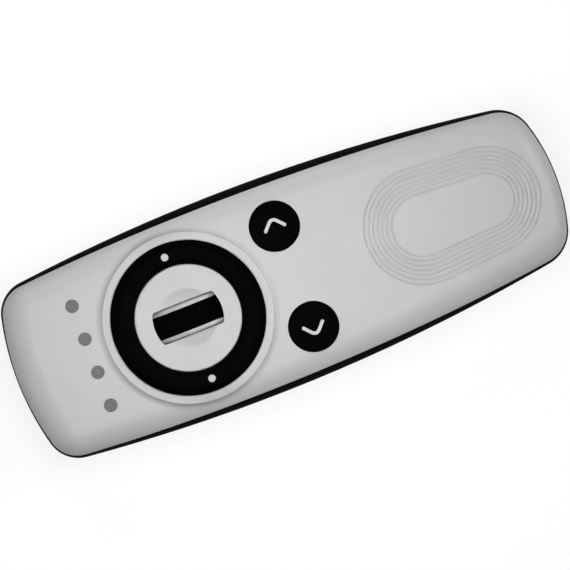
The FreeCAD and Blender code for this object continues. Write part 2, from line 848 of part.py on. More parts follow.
def bowed_leaf(label, width, x, y, turned_round):
    """A contact bent from strip: a flat back with a leaf that bows out to the cell."""
    body = new_body(label)
    thick = D.contact_thickness
    low = CELL_HEIGHT - D.contact_height / 2
    high = CELL_HEIGHT + D.contact_height / 2
    bend_height = thick * 2
    half = (D.contact_height - bend_height * 2) / 2
    bow = D.contact_depth - thick * 2 - D.contact_return / 2
    leaf_radius = (half * half + bow * bow) / (bow * 2)
    section = new_sketch(body, f"{label}_section", "YZ_Plane")
    draw_loop(section, [
        (0, low),
        (thick, low),
        (thick, high - bend_height, -leaf_radius),
        (thick + D.contact_return, low + bend_height),
        (thick * 2 + D.contact_return, low + bend_height, leaf_radius),
        (thick * 2, high - bend_height),
        (thick * 2, high),
        (0, high),
    ])
    extrude(body, "Pad", section, width, both_ways=True)
    turn = Rotation(Vector(0, 0, 1), 0 if turned_round else 180)
    return place(body, x, y, 0, turn)


def battery_contacts():
    front = [bowed_leaf(f"{name}_battery_contact", D.contact_width, side * D.cell_x,
                        BAY_FRONT_Y, False)
             for name, side in (("right", 1), ("left", -1))]
    bridge = bowed_leaf("bridge_battery_contact", D.cell_x * 2 + D.contact_width, 0, BAY_REAR_Y, True)
    return front + [bridge]


# Circuit board with its chips, lamps and key domes

def circuit_board():
    body = new_body("circuit_board")
    plan = new_sketch(body, "board_plan", lift=BOARD_BOTTOM)
    draw_outline(plan, D.board_inset)
    extrude(body, "Pad", plan, D.board_thickness)
    cuts = new_sketch(body, "board_cuts", lift=D.board_top)
    reach = D.half_width + D.cut_margin
    draw_box(cuts, -reach, reach, -D.half_length - D.cut_margin, BOARD_TAIL_Y)
    slot_x = D.cradle_outer + D.board_slot_fit
    slot_y = D.cradle_half_length + D.board_slot_fit
    draw_box(cuts, -slot_x, slot_x, D.ring_y - slot_y, D.ring_y + slot_y)
    for x, y in leg_spots():
        draw_circle(cuts, x, y + D.ring_y, D.peg_radius + D.peg_fit)
    for x, y in BOARD_POST_SPOTS:
        draw_circle(cuts, x, y, D.screw_radius + D.screw_fit)
    for x, y in mirrored_spots((D.head_boss_x, D.head_boss_y)):
        draw_circle(cuts, x, y, D.boss_radius + D.boss_clearance)
    extrude(body, "Pocket", cuts)
    return body


def block(label, x, y, low, length_x, length_y, height):
    body = new_body(label)
    prism(body, f"{label}_plan",
          [(draw_box, -length_x / 2, length_x / 2, -length_y / 2, length_y / 2)], low, low + height)
    return place(body, x, y)


def board_parts():
    pieces = [
        block("radio_module", 0, D.radio_y, BOARD_BOTTOM - D.radio_thickness,
              D.radio_width, D.radio_length, D.radio_thickness),
        block("control_chip", 0, D.chip_y, D.board_top, D.chip_side, D.chip_side, D.chip_thickness),
        block("chip_antenna", 0, D.half_length - D.antenna_setback, D.board_top, D.antenna_length,
              D.antenna_width, D.antenna_thickness),
        block("wheel_sensor", D.sensor_x, D.ring_y - D.sensor_drop, D.board_top, D.sensor_side,
              D.sensor_side, D.sensor_thickness),
    ]
    names = ("inner_right", "inner_left", "outer_right", "outer_left")
    for name, (x, y) in zip(names, LAMP_SPOTS):
        pieces.append(block(f"{name}_lamp", x, y, D.board_top, D.led_length, D.led_width,
                            D.led_thickness))
    return pieces


def key_dome(label, x, y):
    """A hollow silicone dome that springs a key back."""
    base_top = D.board_top + D.dome_base_thickness
    neck = D.dome_top_radius + D.dome_wall
    body = turned(label, [
        (neck - D.dome_wall, D.board_top),
        (D.dome_base_radius, D.board_top),
        (D.dome_base_radius, base_top),
        (neck, base_top),
        (D.dome_top_radius, DOME_TOP - D.dome_base_thickness),
        (D.dome_top_radius, DOME_TOP),
        (0, DOME_TOP),
        (0, DOME_TOP - D.dome_wall * 2),
        (D.dome_top_radius - D.dome_wall, DOME_TOP - D.dome_wall * 2),
    ])
    return place(body, x, y)


def key_domes():
    spots = {
        "ring": (D.dot_offset, D.ring_y),
        "arrow": (D.button_x, D.button_y),
        "wheel": (D.wheel_dome_offset, D.ring_y),
    }
    return [key_dome(f"{name}_{key}_dome", side * x, y)
            for key, (x, y) in spots.items() for name, side in (("right", 1), ("left", -1))]


def light_guide():
    """Four clear pipes on one bar, cut flush with the crowned face."""
    body = new_body("light_pipes")
    bar_bottom = D.board_top + D.screw_head_height + D.guide_clearance
    bar_top = bar_bottom + D.guide_bar_thickness
    prism(body, "guide_bar", [(draw_box, -D.guide_bar_reach, D.guide_bar_reach,
                               D.lamp_y - D.guide_bar_half, D.lamp_y + D.guide_bar_half)],
          bar_bottom, bar_top)
    prism(body, "guide_pipes", [(draw_circle, x, y, D.lamp_radius) for x, y in LAMP_SPOTS],
          bar_top, D.crown_height + D.cut_margin)
    feet = [(draw_box, *sorted_pair(side * D.guide_bar_reach, side * (D.guide_bar_reach - D.guide_foot)),
             D.lamp_y - D.guide_bar_half, D.lamp_y + D.guide_bar_half) for side in (1, -1)]
    prism(body, "guide_feet", feet, D.board_top, bar_bottom)
    return common("light_guide", body, BODY_FORM)


def sorted_pair(first, second):
    return (first, second) if first.value < second.value else (second, first)


# Press ring, centre disc and the carrier below them

def press_ring():
    ring = new_body("press_ring_blank")
    section = new_sketch(ring, "ring_section", "XZ_Plane")
    draw_loop(section, [
        (D.ring_inner, D.ring_under),
        (D.ring_skirt_inner, D.ring_under),
        (D.ring_skirt_inner, D.ring_flange_bottom),
        (D.ring_flange, D.ring_flange_bottom),
        (D.ring_flange, D.ring_flange_top),
        (D.ring_outer, D.ring_flange_top),
        (D.ring_outer, D.ring_shoulder, D.ring_dome_radius),
        (D.ring_inner, D.ring_shoulder),
    ])
    spin(ring, "Revolution", section)
    plungers = [(draw_circle, side * D.dot_offset, 0, D.plunger_radius) for side in (1, -1)]
    rooted = D.ring_under + D.joint_overlap
    prism(ring, "ring_plungers", plungers, KEY_FOOT, rooted)
    for name, side in (("front", 1), ("rear", -1)):
        lug = new_sketch(ring, f"{name}_pivot_lug", "XZ_Plane",
                         lift=-D.pivot_outer if side > 0 else D.pivot_inner)
        draw_loop(lug, [
            (-D.pivot_radius, D.pivot_height, D.pivot_radius),
            (0, D.pivot_height - D.pivot_radius, D.pivot_radius),
            (D.pivot_radius, D.pivot_height),
            (D.pivot_radius, rooted),
            (-D.pivot_radius, rooted),
        ])
        extrude(ring, "Pad", lug, D.pivot_outer - D.pivot_inner)
    over = D.crown_height + D.cut_margin
    holes = new_sketch(ring, "dot_seats", lift=over)
    for side in (1, -1):
        draw_circle(holes, side * D.dot_offset, 0, D.dot_radius)
    extrude(ring, "Pocket", holes, over - ring_top_height() + D.dot_depth)
    return place(ring, *RING_CENTRE)


def ring_top_height():
    """Height of the ring's domed top over its middle."""
    half = (D.ring_outer - D.ring_inner) / 2
    return D.ring_shoulder + D.ring_dome_radius - root(D.ring_dome_radius * D.ring_dome_radius
                                                       - half * half)


def ring_dots():
    top = ring_top_height()
    dots = []
    for name, side in (("right", 1), ("left", -1)):
        dot = rods(f"{name}_ring_dot", [(side * D.dot_offset, D.ring_y)], D.dot_radius,
                   top - D.dot_depth, top - D.dot_sink)
        dots.append(dot)
    return dots


def centre_disc():
    """The fixed disc with a soft-edged finger dish and the wheel's slot, on a skirt."""
    rim = D.disc_radius - D.disc_edge
    curves = D.dish_sphere + D.dish_lip
    lip_start = root(curves * curves - (curves - D.dish_depth) * (curves - D.dish_depth))
    lip_end = lip_start * D.dish_sphere / curves
    lip_drop = D.dish_depth * D.dish_lip / curves
    disc = turned("disc_blank", [
        (0, D.disc_under),
        (D.skirt_inner, D.disc_under),
        (D.skirt_inner, D.pivot_height),
        (D.skirt_outer, D.pivot_height),
        (D.skirt_outer, D.disc_under),
        (D.disc_radius, D.disc_under),
        (D.disc_radius, D.disc_height - D.disc_edge, D.disc_edge),
        (rim, D.disc_height),
        (lip_start, D.disc_height, D.dish_lip),
        (lip_end, D.disc_height - lip_drop, -D.dish_sphere),
        (0, D.disc_height - D.dish_depth),
    ])
    return cut("centre_disc", place(disc, *RING_CENTRE), place(wheel_slot(), *RING_CENTRE))


def wheel_slot():
    """The opening over the wheel: straight sides, bowed ends and rounded corners."""
    body = new_body("wheel_slot")
    end_sag = D.slot_end_radius - root(D.slot_end_radius * D.slot_end_radius
                                       - D.slot_half_width * D.slot_half_width)
    side_end = D.slot_half_length - end_sag
    plan = new_sketch(body, "wheel_slot_plan", lift=D.pivot_height)
    draw_loop(plan, [
        (D.slot_half_width, -side_end),
        (D.slot_half_width, side_end, D.slot_end_radius),
        (-D.slot_half_width, side_end),
        (-D.slot_half_width, -side_end, D.slot_end_radius),
    ])
    opening = extrude(body, "Pad", plan, D.disc_height + D.cut_margin - D.pivot_height)
    fillet_edges(body, opening, "slot_corners", D.slot_corner, is_upright)
    return body


def is_upright(edge):
    box = edge.BoundBox
    return box.XLength < 0.001 and box.YLength < 0.001


def leg_spots():
    return [(x * D.leg_offset, y * D.leg_offset) for x in (1, -1) for y in (1, -1)]


def control_carrier():
    body = new_body("control_carrier")
    prism(body, "carrier_plate", [(draw_circle, 0, 0, D.carrier_radius)],
          D.carrier_bottom, D.pivot_height)
    prism(body, "carrier_arms", [(draw_box, -D.arm_half_width, D.arm_half_width,
                                  -D.arm_reach, D.arm_reach)], D.arm_bottom, D.pivot_height)
    legs = [(draw_circle, x, y, D.leg_radius) for x, y in leg_spots()]
    prism(body, "carrier_legs", legs, D.board_top, D.carrier_bottom)
    pegs = [(draw_circle, x, y, D.peg_radius) for x, y in leg_spots()]
    prism(body, "carrier_pegs", pegs, BOARD_BOTTOM, D.board_top)
    slot = new_sketch(body, "cradle_slot", lift=D.pivot_height)
    slot_x = D.cradle_outer + D.carrier_slot_fit
    slot_y = D.cradle_half_length + D.carrier_slot_fit
    draw_box(slot, -slot_x, slot_x, -slot_y, slot_y)
    extrude(body, "Pocket", slot)
    saddle = new_sketch(body, "pivot_saddles", "XZ_Plane")
    draw_circle(saddle, 0, D.pivot_height, D.pivot_radius + D.pivot_fit)
    extrude(body, "Pocket", saddle, (D.arm_reach + D.cut_margin) * 2, both_ways=True)
    return place(body, *RING_CENTRE)


# Scroll wheel on its axle in the cradle

def wheel_cradle():
    body = new_body("wheel_cradle")
    end_bar = D.cradle_half_length - D.cradle_bar
    prism(body, "cradle_frame", [
        (draw_box, -D.cradle_outer, D.cradle_outer, -D.cradle_half_length, D.cradle_half_length),
        (draw_box, -D.cradle_inner, D.cradle_inner, -end_bar, end_bar),
    ], D.cradle_bottom, D.cradle_top)
    for name, side in (("right", 1), ("left", -1)):
        cheek = new_sketch(body, f"{name}_cheek", "YZ_Plane",
                           lift=D.cradle_inner if side > 0 else -D.cradle_outer)
        low = D.wheel_axis_height - D.cheek_radius
        draw_loop(cheek, [
            (-D.cheek_radius, D.wheel_axis_height, D.cheek_radius),
            (0, low, D.cheek_radius),
            (D.cheek_radius, D.wheel_axis_height),
            (D.cheek_radius, D.cradle_top),
            (-D.cheek_radius, D.cradle_top),
        ])
        extrude(body, "Pad", cheek, D.cradle_outer - D.cradle_inner)
        edges = sorted_pair(side * (D.cradle_outer - D.joint_overlap), side * D.wing_reach)
        prism(body, f"{name}_wing", [(draw_box, *edges, -D.wing_half_length, D.wing_half_length)],
              D.wing_bottom, D.wing_top)
    bore = new_sketch(body, "axle_bore", "YZ_Plane")
    draw_circle(bore, 0, D.wheel_axis_height, D.axle_radius)
    extrude(body, "Pocket", bore, (D.cradle_outer + D.cut_margin) * 2, both_ways=True)
    return place(body, *RING_CENTRE)


ALONG_X = Rotation(Vector(0, 1, 0), 90)


def wheel_axle():
    body = turned("wheel_axle", [
        (0, -D.cradle_outer),
        (D.axle_radius, -D.cradle_outer),
        (D.axle_radius, D.cradle_outer),
        (0, D.cradle_outer),
    ])
    return place(body, 0, D.ring_y, D.wheel_axis_height, ALONG_X)


def wheel_rim():
    """Hub, web and rim, with a bright shoulder on each side of the tread's seat."""
    bore = D.axle_radius + D.axle_fit
    shoulder = D.wheel_radius - D.shoulder_drop
    seat = D.wheel_radius - D.tread_thickness
    inside = seat - D.rim_thickness
    half_side = [
        (bore, D.shoulder_half_width),
        (D.hub_radius, D.shoulder_half_width),
        (D.hub_radius, D.web_half_width),
        (inside, D.web_half_width),
        (inside, D.shoulder_half_width),
        (shoulder - D.shoulder_chamfer, D.shoulder_half_width),
        (shoulder, D.shoulder_half_width - D.shoulder_chamfer),
        (shoulder, D.tread_half_width),
        (seat, D.tread_half_width),
    ]
    other_side = [(radius, -along) for radius, along in reversed(half_side)]
    body = turned("wheel_rim", half_side + other_side)
    return place(body, 0, D.ring_y, D.wheel_axis_height, ALONG_X)


def wheel_tread():
    seat = D.wheel_radius - D.tread_thickness
    edge = D.shoulder_chamfer
    body = turned("wheel_tread", [
        (seat, -D.tread_half_width),
        (D.wheel_radius - edge, -D.tread_half_width, edge),
        (D.wheel_radius, -D.tread_half_width + edge),
        (D.wheel_radius, D.tread_half_width - edge, edge),
        (D.wheel_radius - edge, D.tread_half_width),
        (seat, D.tread_half_width),
    ])
    return place(body, 0, D.ring_y, D.wheel_axis_height, ALONG_X)


# Arrow buttons

def arrow_button(label, side):
    top_sag = D.button_dome_radius - root(D.button_dome_radius * D.button_dome_radius
                                          - (D.button_radius - D.button_edge)
                                          * (D.button_radius - D.button_edge))
    shoulder = D.button_height - top_sag
    body = turned(label, [
        (0, KEY_FOOT),
        (D.button_stem_radius, KEY_FOOT),
        (D.button_stem_radius, D.button_flange_bottom),
        (D.button_flange_radius, D.button_flange_bottom),
        (D.button_flange_radius, D.button_flange_top),
        (D.button_radius, D.button_flange_top),
        (D.button_radius, shoulder - D.button_edge, D.button_edge),
        (D.button_radius - D.button_edge, shoulder, D.button_dome_radius),
        (0, D.button_height),
    ])
    return place(body, side * D.button_x, D.button_y)


# Screws

def screw(label, x, y, seat, length, head_up):
    """A pan-head screw with its head seated at the given height."""
    body = turned(label, [
        (0, -length),
        (D.screw_radius, -length),
        (D.screw_radius, 0),
        (D.screw_head_radius, 0),
        (D.screw_head_radius, D.screw_head_height),
        (0, D.screw_head_height),
    ])
    turn = Rotation() if head_up else Rotation(Vector(1, 0, 0), 180)
    return place(body, x, y, seat, turn)


def screws():
    shell = [screw(f"shell_screw_{number}", x, y, D.screw_seat_height, D.screw_length, False)
             for number, (x, y) in enumerate(SHELL_BOSS_SPOTS, start=1)]
    board = [screw(f"board_screw_{number}", x, y, D.board_top, D.board_screw_length, True)
             for number, (x, y) in enumerate(BOARD_POST_SPOTS, start=1)]
    return shell + board


def build():
    press_ring_body = press_ring()
    press_ring_body.Label = "press_ring"
    pieces = [
        top_shell(),
        bottom_shell(),
        battery_cover(),
        battery_cell("right_battery_cell", 1, True),
        battery_cell("left_battery_cell", -1, False),
        *battery_contacts(),
        circuit_board(),
        *board_parts(),
        *key_domes(),
        light_guide(),
        press_ring_body,
        *ring_dots(),
        centre_disc(),
        control_carrier(),
        wheel_cradle(),
        wheel_axle(),
        wheel_rim(),
        wheel_tread(),
        arrow_button("right_arrow_button", 1),
        arrow_button("left_arrow_button", -1),
        *screws(),
    ]
    DOC.recompute()
    for item in DOC.Objects:
        if "Invalid" in item.State or "Error" in item.State:
            raise RuntimeError(f"{item.Label} did not build: {item.State}")
    for piece in pieces:
        shape = piece.Shape
        if shape.isNull() or not shape.isValid():
            raise RuntimeError(f"{piece.Label} has no valid shape")
        print(f"{piece.Label:26s} {len(shape.Solids)} solid {shape.Volume:10.1f} mm3")
    os.makedirs("parts", exist_ok=True)
    for piece in pieces:
        piece.Shape.exportStep(f"parts/{piece.Label}.step")


build()
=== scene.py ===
import math

import bmesh
import bpy
from bpy.props import FloatProperty, FloatVectorProperty, IntProperty, PointerProperty
from bpy.types import Operator, Panel, PropertyGroup
from mathutils import Matrix, Vector


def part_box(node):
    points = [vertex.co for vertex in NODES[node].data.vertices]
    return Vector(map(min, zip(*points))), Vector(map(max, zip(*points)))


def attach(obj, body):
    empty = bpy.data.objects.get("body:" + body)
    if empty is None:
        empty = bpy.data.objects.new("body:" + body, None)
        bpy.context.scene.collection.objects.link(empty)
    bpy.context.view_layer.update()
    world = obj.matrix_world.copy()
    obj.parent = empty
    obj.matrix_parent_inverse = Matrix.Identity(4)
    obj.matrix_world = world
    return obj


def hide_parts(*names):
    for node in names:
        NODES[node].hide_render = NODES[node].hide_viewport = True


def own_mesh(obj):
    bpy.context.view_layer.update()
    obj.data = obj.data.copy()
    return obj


# Dresses a smart home remote control: satin grey face, black lower case, press ring round a
# scroll wheel, arrow buttons, lamp windows and an oval-grooved grip.
# +Y points to the lamp windows, +X to the right as held, +Z out of the face.

bl_info = {
    "name": "Smart Remote Control",
    "version": (1, 0, 0),
    "blender": (4, 5, 0),
    "location": "View3D > Sidebar > Remote",
    "description": "Finishes the pieces of a smart home remote control and sets up its studio",
    "category": "Object",
}

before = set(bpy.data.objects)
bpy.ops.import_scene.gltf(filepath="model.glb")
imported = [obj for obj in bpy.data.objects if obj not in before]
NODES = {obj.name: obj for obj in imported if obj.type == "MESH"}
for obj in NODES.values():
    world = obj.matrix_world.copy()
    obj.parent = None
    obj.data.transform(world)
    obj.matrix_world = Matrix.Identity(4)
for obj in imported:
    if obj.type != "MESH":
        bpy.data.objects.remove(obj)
RING_CENTRE = Vector((0, 0.0257, 0))
WHEEL_AXIS_HEIGHT = 0.0134
BUTTON_SPOTS = {"right": Vector((0.01305, -0.0018, 0)), "left": Vector((-0.01305, -0.0018, 0))}
BUTTON_TOP = 0.0212
BUTTON_DOME_RADIUS = 0.055
# Innermost oval of the grip: Y of the arc's centre, its radius, and the step to the next oval
GRIP_FRONT_ARC = (-0.0353, 0.00758, 0.001117)
GRIP_REAR_ARC = (-0.0522, 0.00662, 0.00106)
GRIP_OVALS = 7
COLLAR_RADIUS = 0.021
# What the middle of the picture shows, and the direction that points right in it
PICTURE_CENTRE = Vector((-0.00113, 0.001, 0.021))
PICTURE_RIGHT = (-0.365, -0.931)
SENSOR_WIDTH = 36.0
CAMERA_SIGHT = 20.0
FLOOR_REACH = 6.0
# The furrows of the tread run out between these distances from its sides
FURROW_END = (0.0002, 0.0007)
# Points nearer together than this are one point
WELD = 0.0000005
# Degrees between two faces from which the edge of a turned piece stays crisp
TURNED_CRISP = 32


# Sizes and colours that a user would change

def length(name, text, default, low=0.0, high=1.0):
    return FloatProperty(name=name, description=text, default=default, min=low, max=high,
                         subtype="DISTANCE", unit="LENGTH", precision=5)


def colour(name, text, default):
    return FloatVectorProperty(name=name, description=text, default=default, size=3, min=0, max=1,
                               subtype="COLOR")


def share(name, text, default):
    return FloatProperty(name=name, description=text, default=default, min=0, max=1,
                         subtype="FACTOR")


class RemoteFinish(PropertyGroup):
    face_colour: colour("Face", "Moulded grey of the upper case", (0.57, 0.57, 0.572))
    disc_colour: colour("Disc", "Moulded grey of the disc round the wheel", (0.555, 0.555, 0.557))
    case_colour: colour("Lower case", "Black of the lower case and the battery cover",
                        (0.006, 0.006, 0.0062))
    key_colour: colour("Keys", "Black of the press ring and the arrow buttons",
                       (0.0008, 0.0008, 0.0009))
    rubber_colour: colour("Tread", "Black rubber of the wheel's tread", (0.001, 0.001, 0.001))
    window_colour: colour("Lamp windows", "Smoked grey of the light pipes", (0.133, 0.133, 0.133))
    dot_colour: colour("Dots", "White of the two dots in the ring", (0.6, 0.6, 0.6))
    arrow_colour: colour("Arrows", "White of the arrows on the buttons", (0.66, 0.66, 0.66))
    shoulder_colour: colour("Wheel shoulders", "Satin silver of the wheel's rim",
                            (0.5, 0.5, 0.505))
    face_roughness: share("Face roughness", "How matt the grey plastic is", 0.43)
    face_gloss: share("Face gloss", "How much the grey plastic reflects", 0.45)
    key_roughness: share("Key roughness", "How matt the black keys are", 0.42)
    key_gloss: share("Key gloss", "How much the black keys reflect", 0.01)
    case_roughness: share("Lower case roughness", "How matt the black lower case is", 0.55)
    case_gloss: share("Lower case gloss", "How much the black lower case reflects", 0.003)
    grain_height: length("Grain height", "Depth of the moulded grain", 0.000012, 0, 0.001)
    ripple_height: length("Ripple height", "Soft rounding of the grip grooves' edges", 0.00013,
                          0, 0.001)
    foot_height: length("Foot height", "Soft rounding at the foot of the ring's collar", 0.00055,
                        0, 0.001)
    foot_width: length("Foot width", "How far that rounding reaches out", 0.0014, 0.0001, 0.01)


class RemoteMarks(PropertyGroup):
    arrow_span: length("Arrow span", "Width of an arrow across its two arms", 0.00492)
    arrow_rise: length("Arrow rise", "From the arms' ends to where their lines meet", 0.00268)
    arrow_bend: length("Arrow bend", "Radius of the arrow's rounded tip", 0.0012)
    arrow_shift: length("Arrow shift", "From the button's centre towards the side of the remote",
                        0.00084)
    arrow_stroke: length("Arrow stroke", "Width of the arrow's line", 0.00082)
    arrow_height: length("Arrow height", "How far the arrow stands above the button", 0.00004)


class RemoteWheel(PropertyGroup):
    rib_count: IntProperty(name="Ribs", description="Fine ribs round the tread", default=84,
                           min=8, max=200)
    rib_depth: length("Rib depth", "Depth of the furrows between the ribs", 0.00014)
    radius: length("Radius", "Outer radius of the tread", 0.01)
    half_width: length("Half width", "Half the width of the tread", 0.00285)
    thickness: length("Thickness", "Thickness of the rubber", 0.0014)
    edge_radius: length("Edge radius", "Rounding of the rubber's edges", 0.0004)


class RemoteScrews(PropertyGroup):
    head_radius: length("Head radius", "Radius of a screw's head", 0.0019)
    head_height: length("Head height", "Height of a screw's head", 0.0013)
    shank_radius: length("Shank radius", "Outer radius of the thread", 0.00095)
    thread_pitch: length("Thread pitch", "From one turn of the thread to the next", 0.0008)
    thread_depth: length("Thread depth", "Depth of the thread", 0.0002)
    recess_span: length("Recess span", "Across the arms of the cross recess", 0.0021)
    recess_width: length("Recess width", "Width of one arm of the recess", 0.00052)
    recess_depth: length("Recess depth", "Depth of the cross recess", 0.0007)


class RemoteStudio(PropertyGroup):
    top_power: FloatProperty(name="Top light", description="Power of the soft light overhead",
                             default=0.225, min=0, unit="POWER")
    top_size: length("Top light size", "Side of the square light overhead", 0.12, 0.01, 5.0)
    top_height: length("Top light height", "Height of the light overhead", 0.2, 0.1, 5.0)
    top_offset: length("Top light offset", "How far it hangs towards the lamp windows", 0.016)
    side_power: FloatVectorProperty(
        name="Side lights", size=4, default=(3.2, 0.2, 6.5, 2.8), min=0,
        description="Power of the lights to the right and left, past the grip and past the lamps")
    side_size: length("Side light size", "Side of each square side light", 0.55, 0.01, 5.0)
    side_distance: length("Side light distance", "From the remote to each side light", 1.3,
                          0.1, 5.0)
    side_tilt: FloatProperty(name="Side light tilt", min=0, max=1.5, subtype="ANGLE",
                             description="Angle of the side lights off the upright",
                             default=math.radians(62))
    ambient: share("Ambient", "Strength of the plain light from all round", 0.04)
    floor_bounce: share("Floor bounce", "How much light the floor throws back", 0.25)
    floor_white: share("Floor white", "Whiteness that the floor shows by itself", 0.85)
    floor_shade: share("Floor shade", "How strongly the floor shows the remote's shadow", 0.2)
    frame_width: length("Frame width", "Width of the picture at the face of the remote", 0.13795)
    lens: FloatProperty(name="Lens", description="Focal length in millimetres", default=800.0,
                        min=50, max=1500)
    view_tilt: FloatProperty(name="View tilt", description="How far the camera leans to the right",
                             default=math.radians(1.2), min=-1.5, max=1.5, subtype="ANGLE")


SETTINGS = {
    "remote_finish": RemoteFinish,
    "remote_marks": RemoteMarks,
    "remote_wheel": RemoteWheel,
    "remote_screws": RemoteScrews,
    "remote_studio": RemoteStudio,
}


# Node trees of materials

class Tree:
    """A node tree that is built up node by node."""

    def __init__(self, tree):
        self.tree = tree
        tree.nodes.clear()

    def add(self, kind, settings=None, links=None, **inputs):
        """Adds a node; links gives its inputs by label or number, inputs by label with _."""
        node = self.tree.nodes.new(kind)
        for name, value in (settings or {}).items():
            setattr(node, name, value)
        named = {name.replace("_", " "): value for name, value in inputs.items()}
        for key, value in {**(links or {}), **named}.items():
            self.feed(node.inputs[key], value)
        return node

    def feed(self, socket, value):
        if isinstance(value, bpy.types.NodeSocket):
            self.tree.links.new(value, socket)
        else:
            socket.default_value = value

    def math(self, operation, *values):
        node = self.add("ShaderNodeMath", {"operation": operation}, dict(enumerate(values)))
        return node.outputs[0]

    def plus(self, first, second):
        return self.math("ADD", first, second)

    def less(self, first, second):
        return self.math("SUBTRACT", first, second)

    def times(self, first, second):
        return self.math("MULTIPLY", first, second)

    def over(self, first, second):
        return self.math("DIVIDE", first, second)

    def reach(self, x, y):
        """Distance of a point from the origin."""
        return self.math("SQRT", self.plus(self.times(x, x), self.times(y, y)))

    def split(self, vector):
        return self.add("ShaderNodeSeparateXYZ", links={0: vector}).outputs

    def ranged(self, value, low, high, start=0.3, end=0.7, kind="LINEAR"):
        """Goes from low to high while the value goes from start to end, and stays there."""
        return self.add("ShaderNodeMapRange", {"clamp": True, "interpolation_type": kind},
                        Value=value, From_Min=start, From_Max=end, To_Min=low,
                        To_Max=high).outputs[0]


class Finish(Tree):
    """A material in object coordinates."""

    def __init__(self, name):
        self.material = bpy.data.materials.new(name)
        self.material.use_nodes = True
        super().__init__(self.material.node_tree)
        self.shader = self.add("ShaderNodeBsdfPrincipled")
        self.place = self.add("ShaderNodeTexCoord").outputs["Object"]
        self.add("ShaderNodeOutputMaterial", Surface=self.shader.outputs[0])

    def surface(self, **inputs):
        """Sets the shader's inputs and returns the material."""
        for name, value in inputs.items():
            self.feed(self.shader.inputs[name.replace("_", " ")], value)
        return self.material

    def stretched(self, scale, turn=(0, 0, 0)):
        return self.add("ShaderNodeMapping", Vector=self.place, Scale=scale,
                        Rotation=turn).outputs["Vector"]

    def noise(self, scale, detail=2.0, roughness=0.5, place=None):
        return self.add("ShaderNodeTexNoise", Vector=place or self.place, Scale=scale,
                        Detail=detail, Roughness=roughness).outputs["Fac"]

    def mixed(self, factor, first, second):
        return self.add("ShaderNodeMix", {"data_type": "RGBA"},
                        {"Factor": factor, 6: first, 7: second}).outputs[2]

    def bump(self, height, distance, strength=1.0, normal=None):
        under = {} if normal is None else {"Normal": normal}
        return self.add("ShaderNodeBump", None, under, Height=height, Distance=distance,
                        Strength=strength).outputs["Normal"]


def shade(rgb, factor):
    return (*(min(1.0, part * factor) for part in rgb), 1.0)


def grip_ripple(finish):
    """-1 along the middle of each oval groove of the grip, running out softly to 0 beside it."""
    start, wide, step = GRIP_FRONT_ARC
    end, narrow, small_step = GRIP_REAR_ARC
    x, y, z = finish.split(finish.place)
    lean = (wide - narrow + (step - small_step) * GRIP_OVALS / 2) / (start - end)
    passed = finish.less(finish.less(start, y), finish.times(finish.math("ABSOLUTE", x), lean))
    along = finish.ranged(passed, 0, 1, 0, start - end)
    away = finish.reach(x, finish.less(y, finish.ranged(along, start, end, 0, 1)))
    beyond = finish.less(away, finish.ranged(along, wide, narrow, 0, 1))
    number = finish.over(beyond, finish.ranged(along, step, small_step, 0, 1))
    number = finish.ranged(number, -0.5, GRIP_OVALS - 0.5, -0.5, GRIP_OVALS - 0.5)
    dip = finish.ranged(finish.math("COSINE", finish.times(number, 2 * math.pi)), 0, 1, -1, 1)
    return finish.times(finish.times(dip, dip), -1.0)


def collar_foot(finish, width):
    """1 on the ring's collar, running out softly to 0 on the face round it."""
    x, y, z = finish.split(finish.place)
    away = finish.reach(x, finish.less(y, RING_CENTRE.y))
    rise = finish.ranged(away, 1, 0, COLLAR_RADIUS, COLLAR_RADIUS + width)
    return finish.times(rise, rise)


def moulded_plastic(name, rgb, roughness, specular, grain, mottle=0.02, relief=()):
    """Moulded plastic: even colour with a faint cloud, fine grain and a few soft rub marks."""
    finish = Finish(name)
    cloud = finish.noise(70, detail=3)
    base = finish.mixed(finish.ranged(cloud, 0, 1), shade(rgb, 1 - mottle), shade(rgb, 1 + mottle))
    rubs = finish.noise(1.0, detail=4, place=finish.stretched((60, 900, 60), (0, 0, 0.5)))
    spread = 0.06
    rough = finish.ranged(rubs, roughness - spread, roughness + spread, 0.35, 0.65)
    normal = finish.bump(finish.noise(240, detail=1), grain * 2, 0.4)
    fine = finish.noise(5200, detail=2, roughness=0.6)
    normal = finish.bump(fine, grain, 0.8, normal)
    for pattern, height in relief:
        normal = finish.bump(pattern(finish), height, 1.0, normal)
    return finish.surface(Base_Color=base, Roughness=rough, Specular_IOR_Level=specular,
                          Normal=normal)


def smoked_window(name, rgb):
    """Polished light pipe: grey through and through, with a trace of moulding ripple."""
    finish = Finish(name)
    depth = finish.noise(900, detail=2)
    base = finish.mixed(finish.ranged(depth, 0, 1), shade(rgb, 0.96), shade(rgb, 1.04))
    ripple = finish.noise(1500, detail=1)
    return finish.surface(Base_Color=base, Roughness=finish.ranged(ripple, 0.22, 0.32),
                          Specular_IOR_Level=0.3, Normal=finish.bump(ripple, 0.000004, 0.5))


def matt_rubber(name, rgb):
    """Rubber with a dusty bloom and a pore texture."""
    finish = Finish(name)
    bloom = finish.noise(420, detail=4)
    base = finish.mixed(finish.ranged(bloom, 0, 1), shade(rgb, 0.8), shade(rgb, 1.5))
    pores = finish.add("ShaderNodeTexVoronoi", Vector=finish.place, Scale=6000.0)
    return finish.surface(Base_Color=base, Roughness=finish.ranged(bloom, 0.72, 0.9),
                          Specular_IOR_Level=0.01,
                          Normal=finish.bump(pores.outputs["Distance"], 0.00001, 0.5))


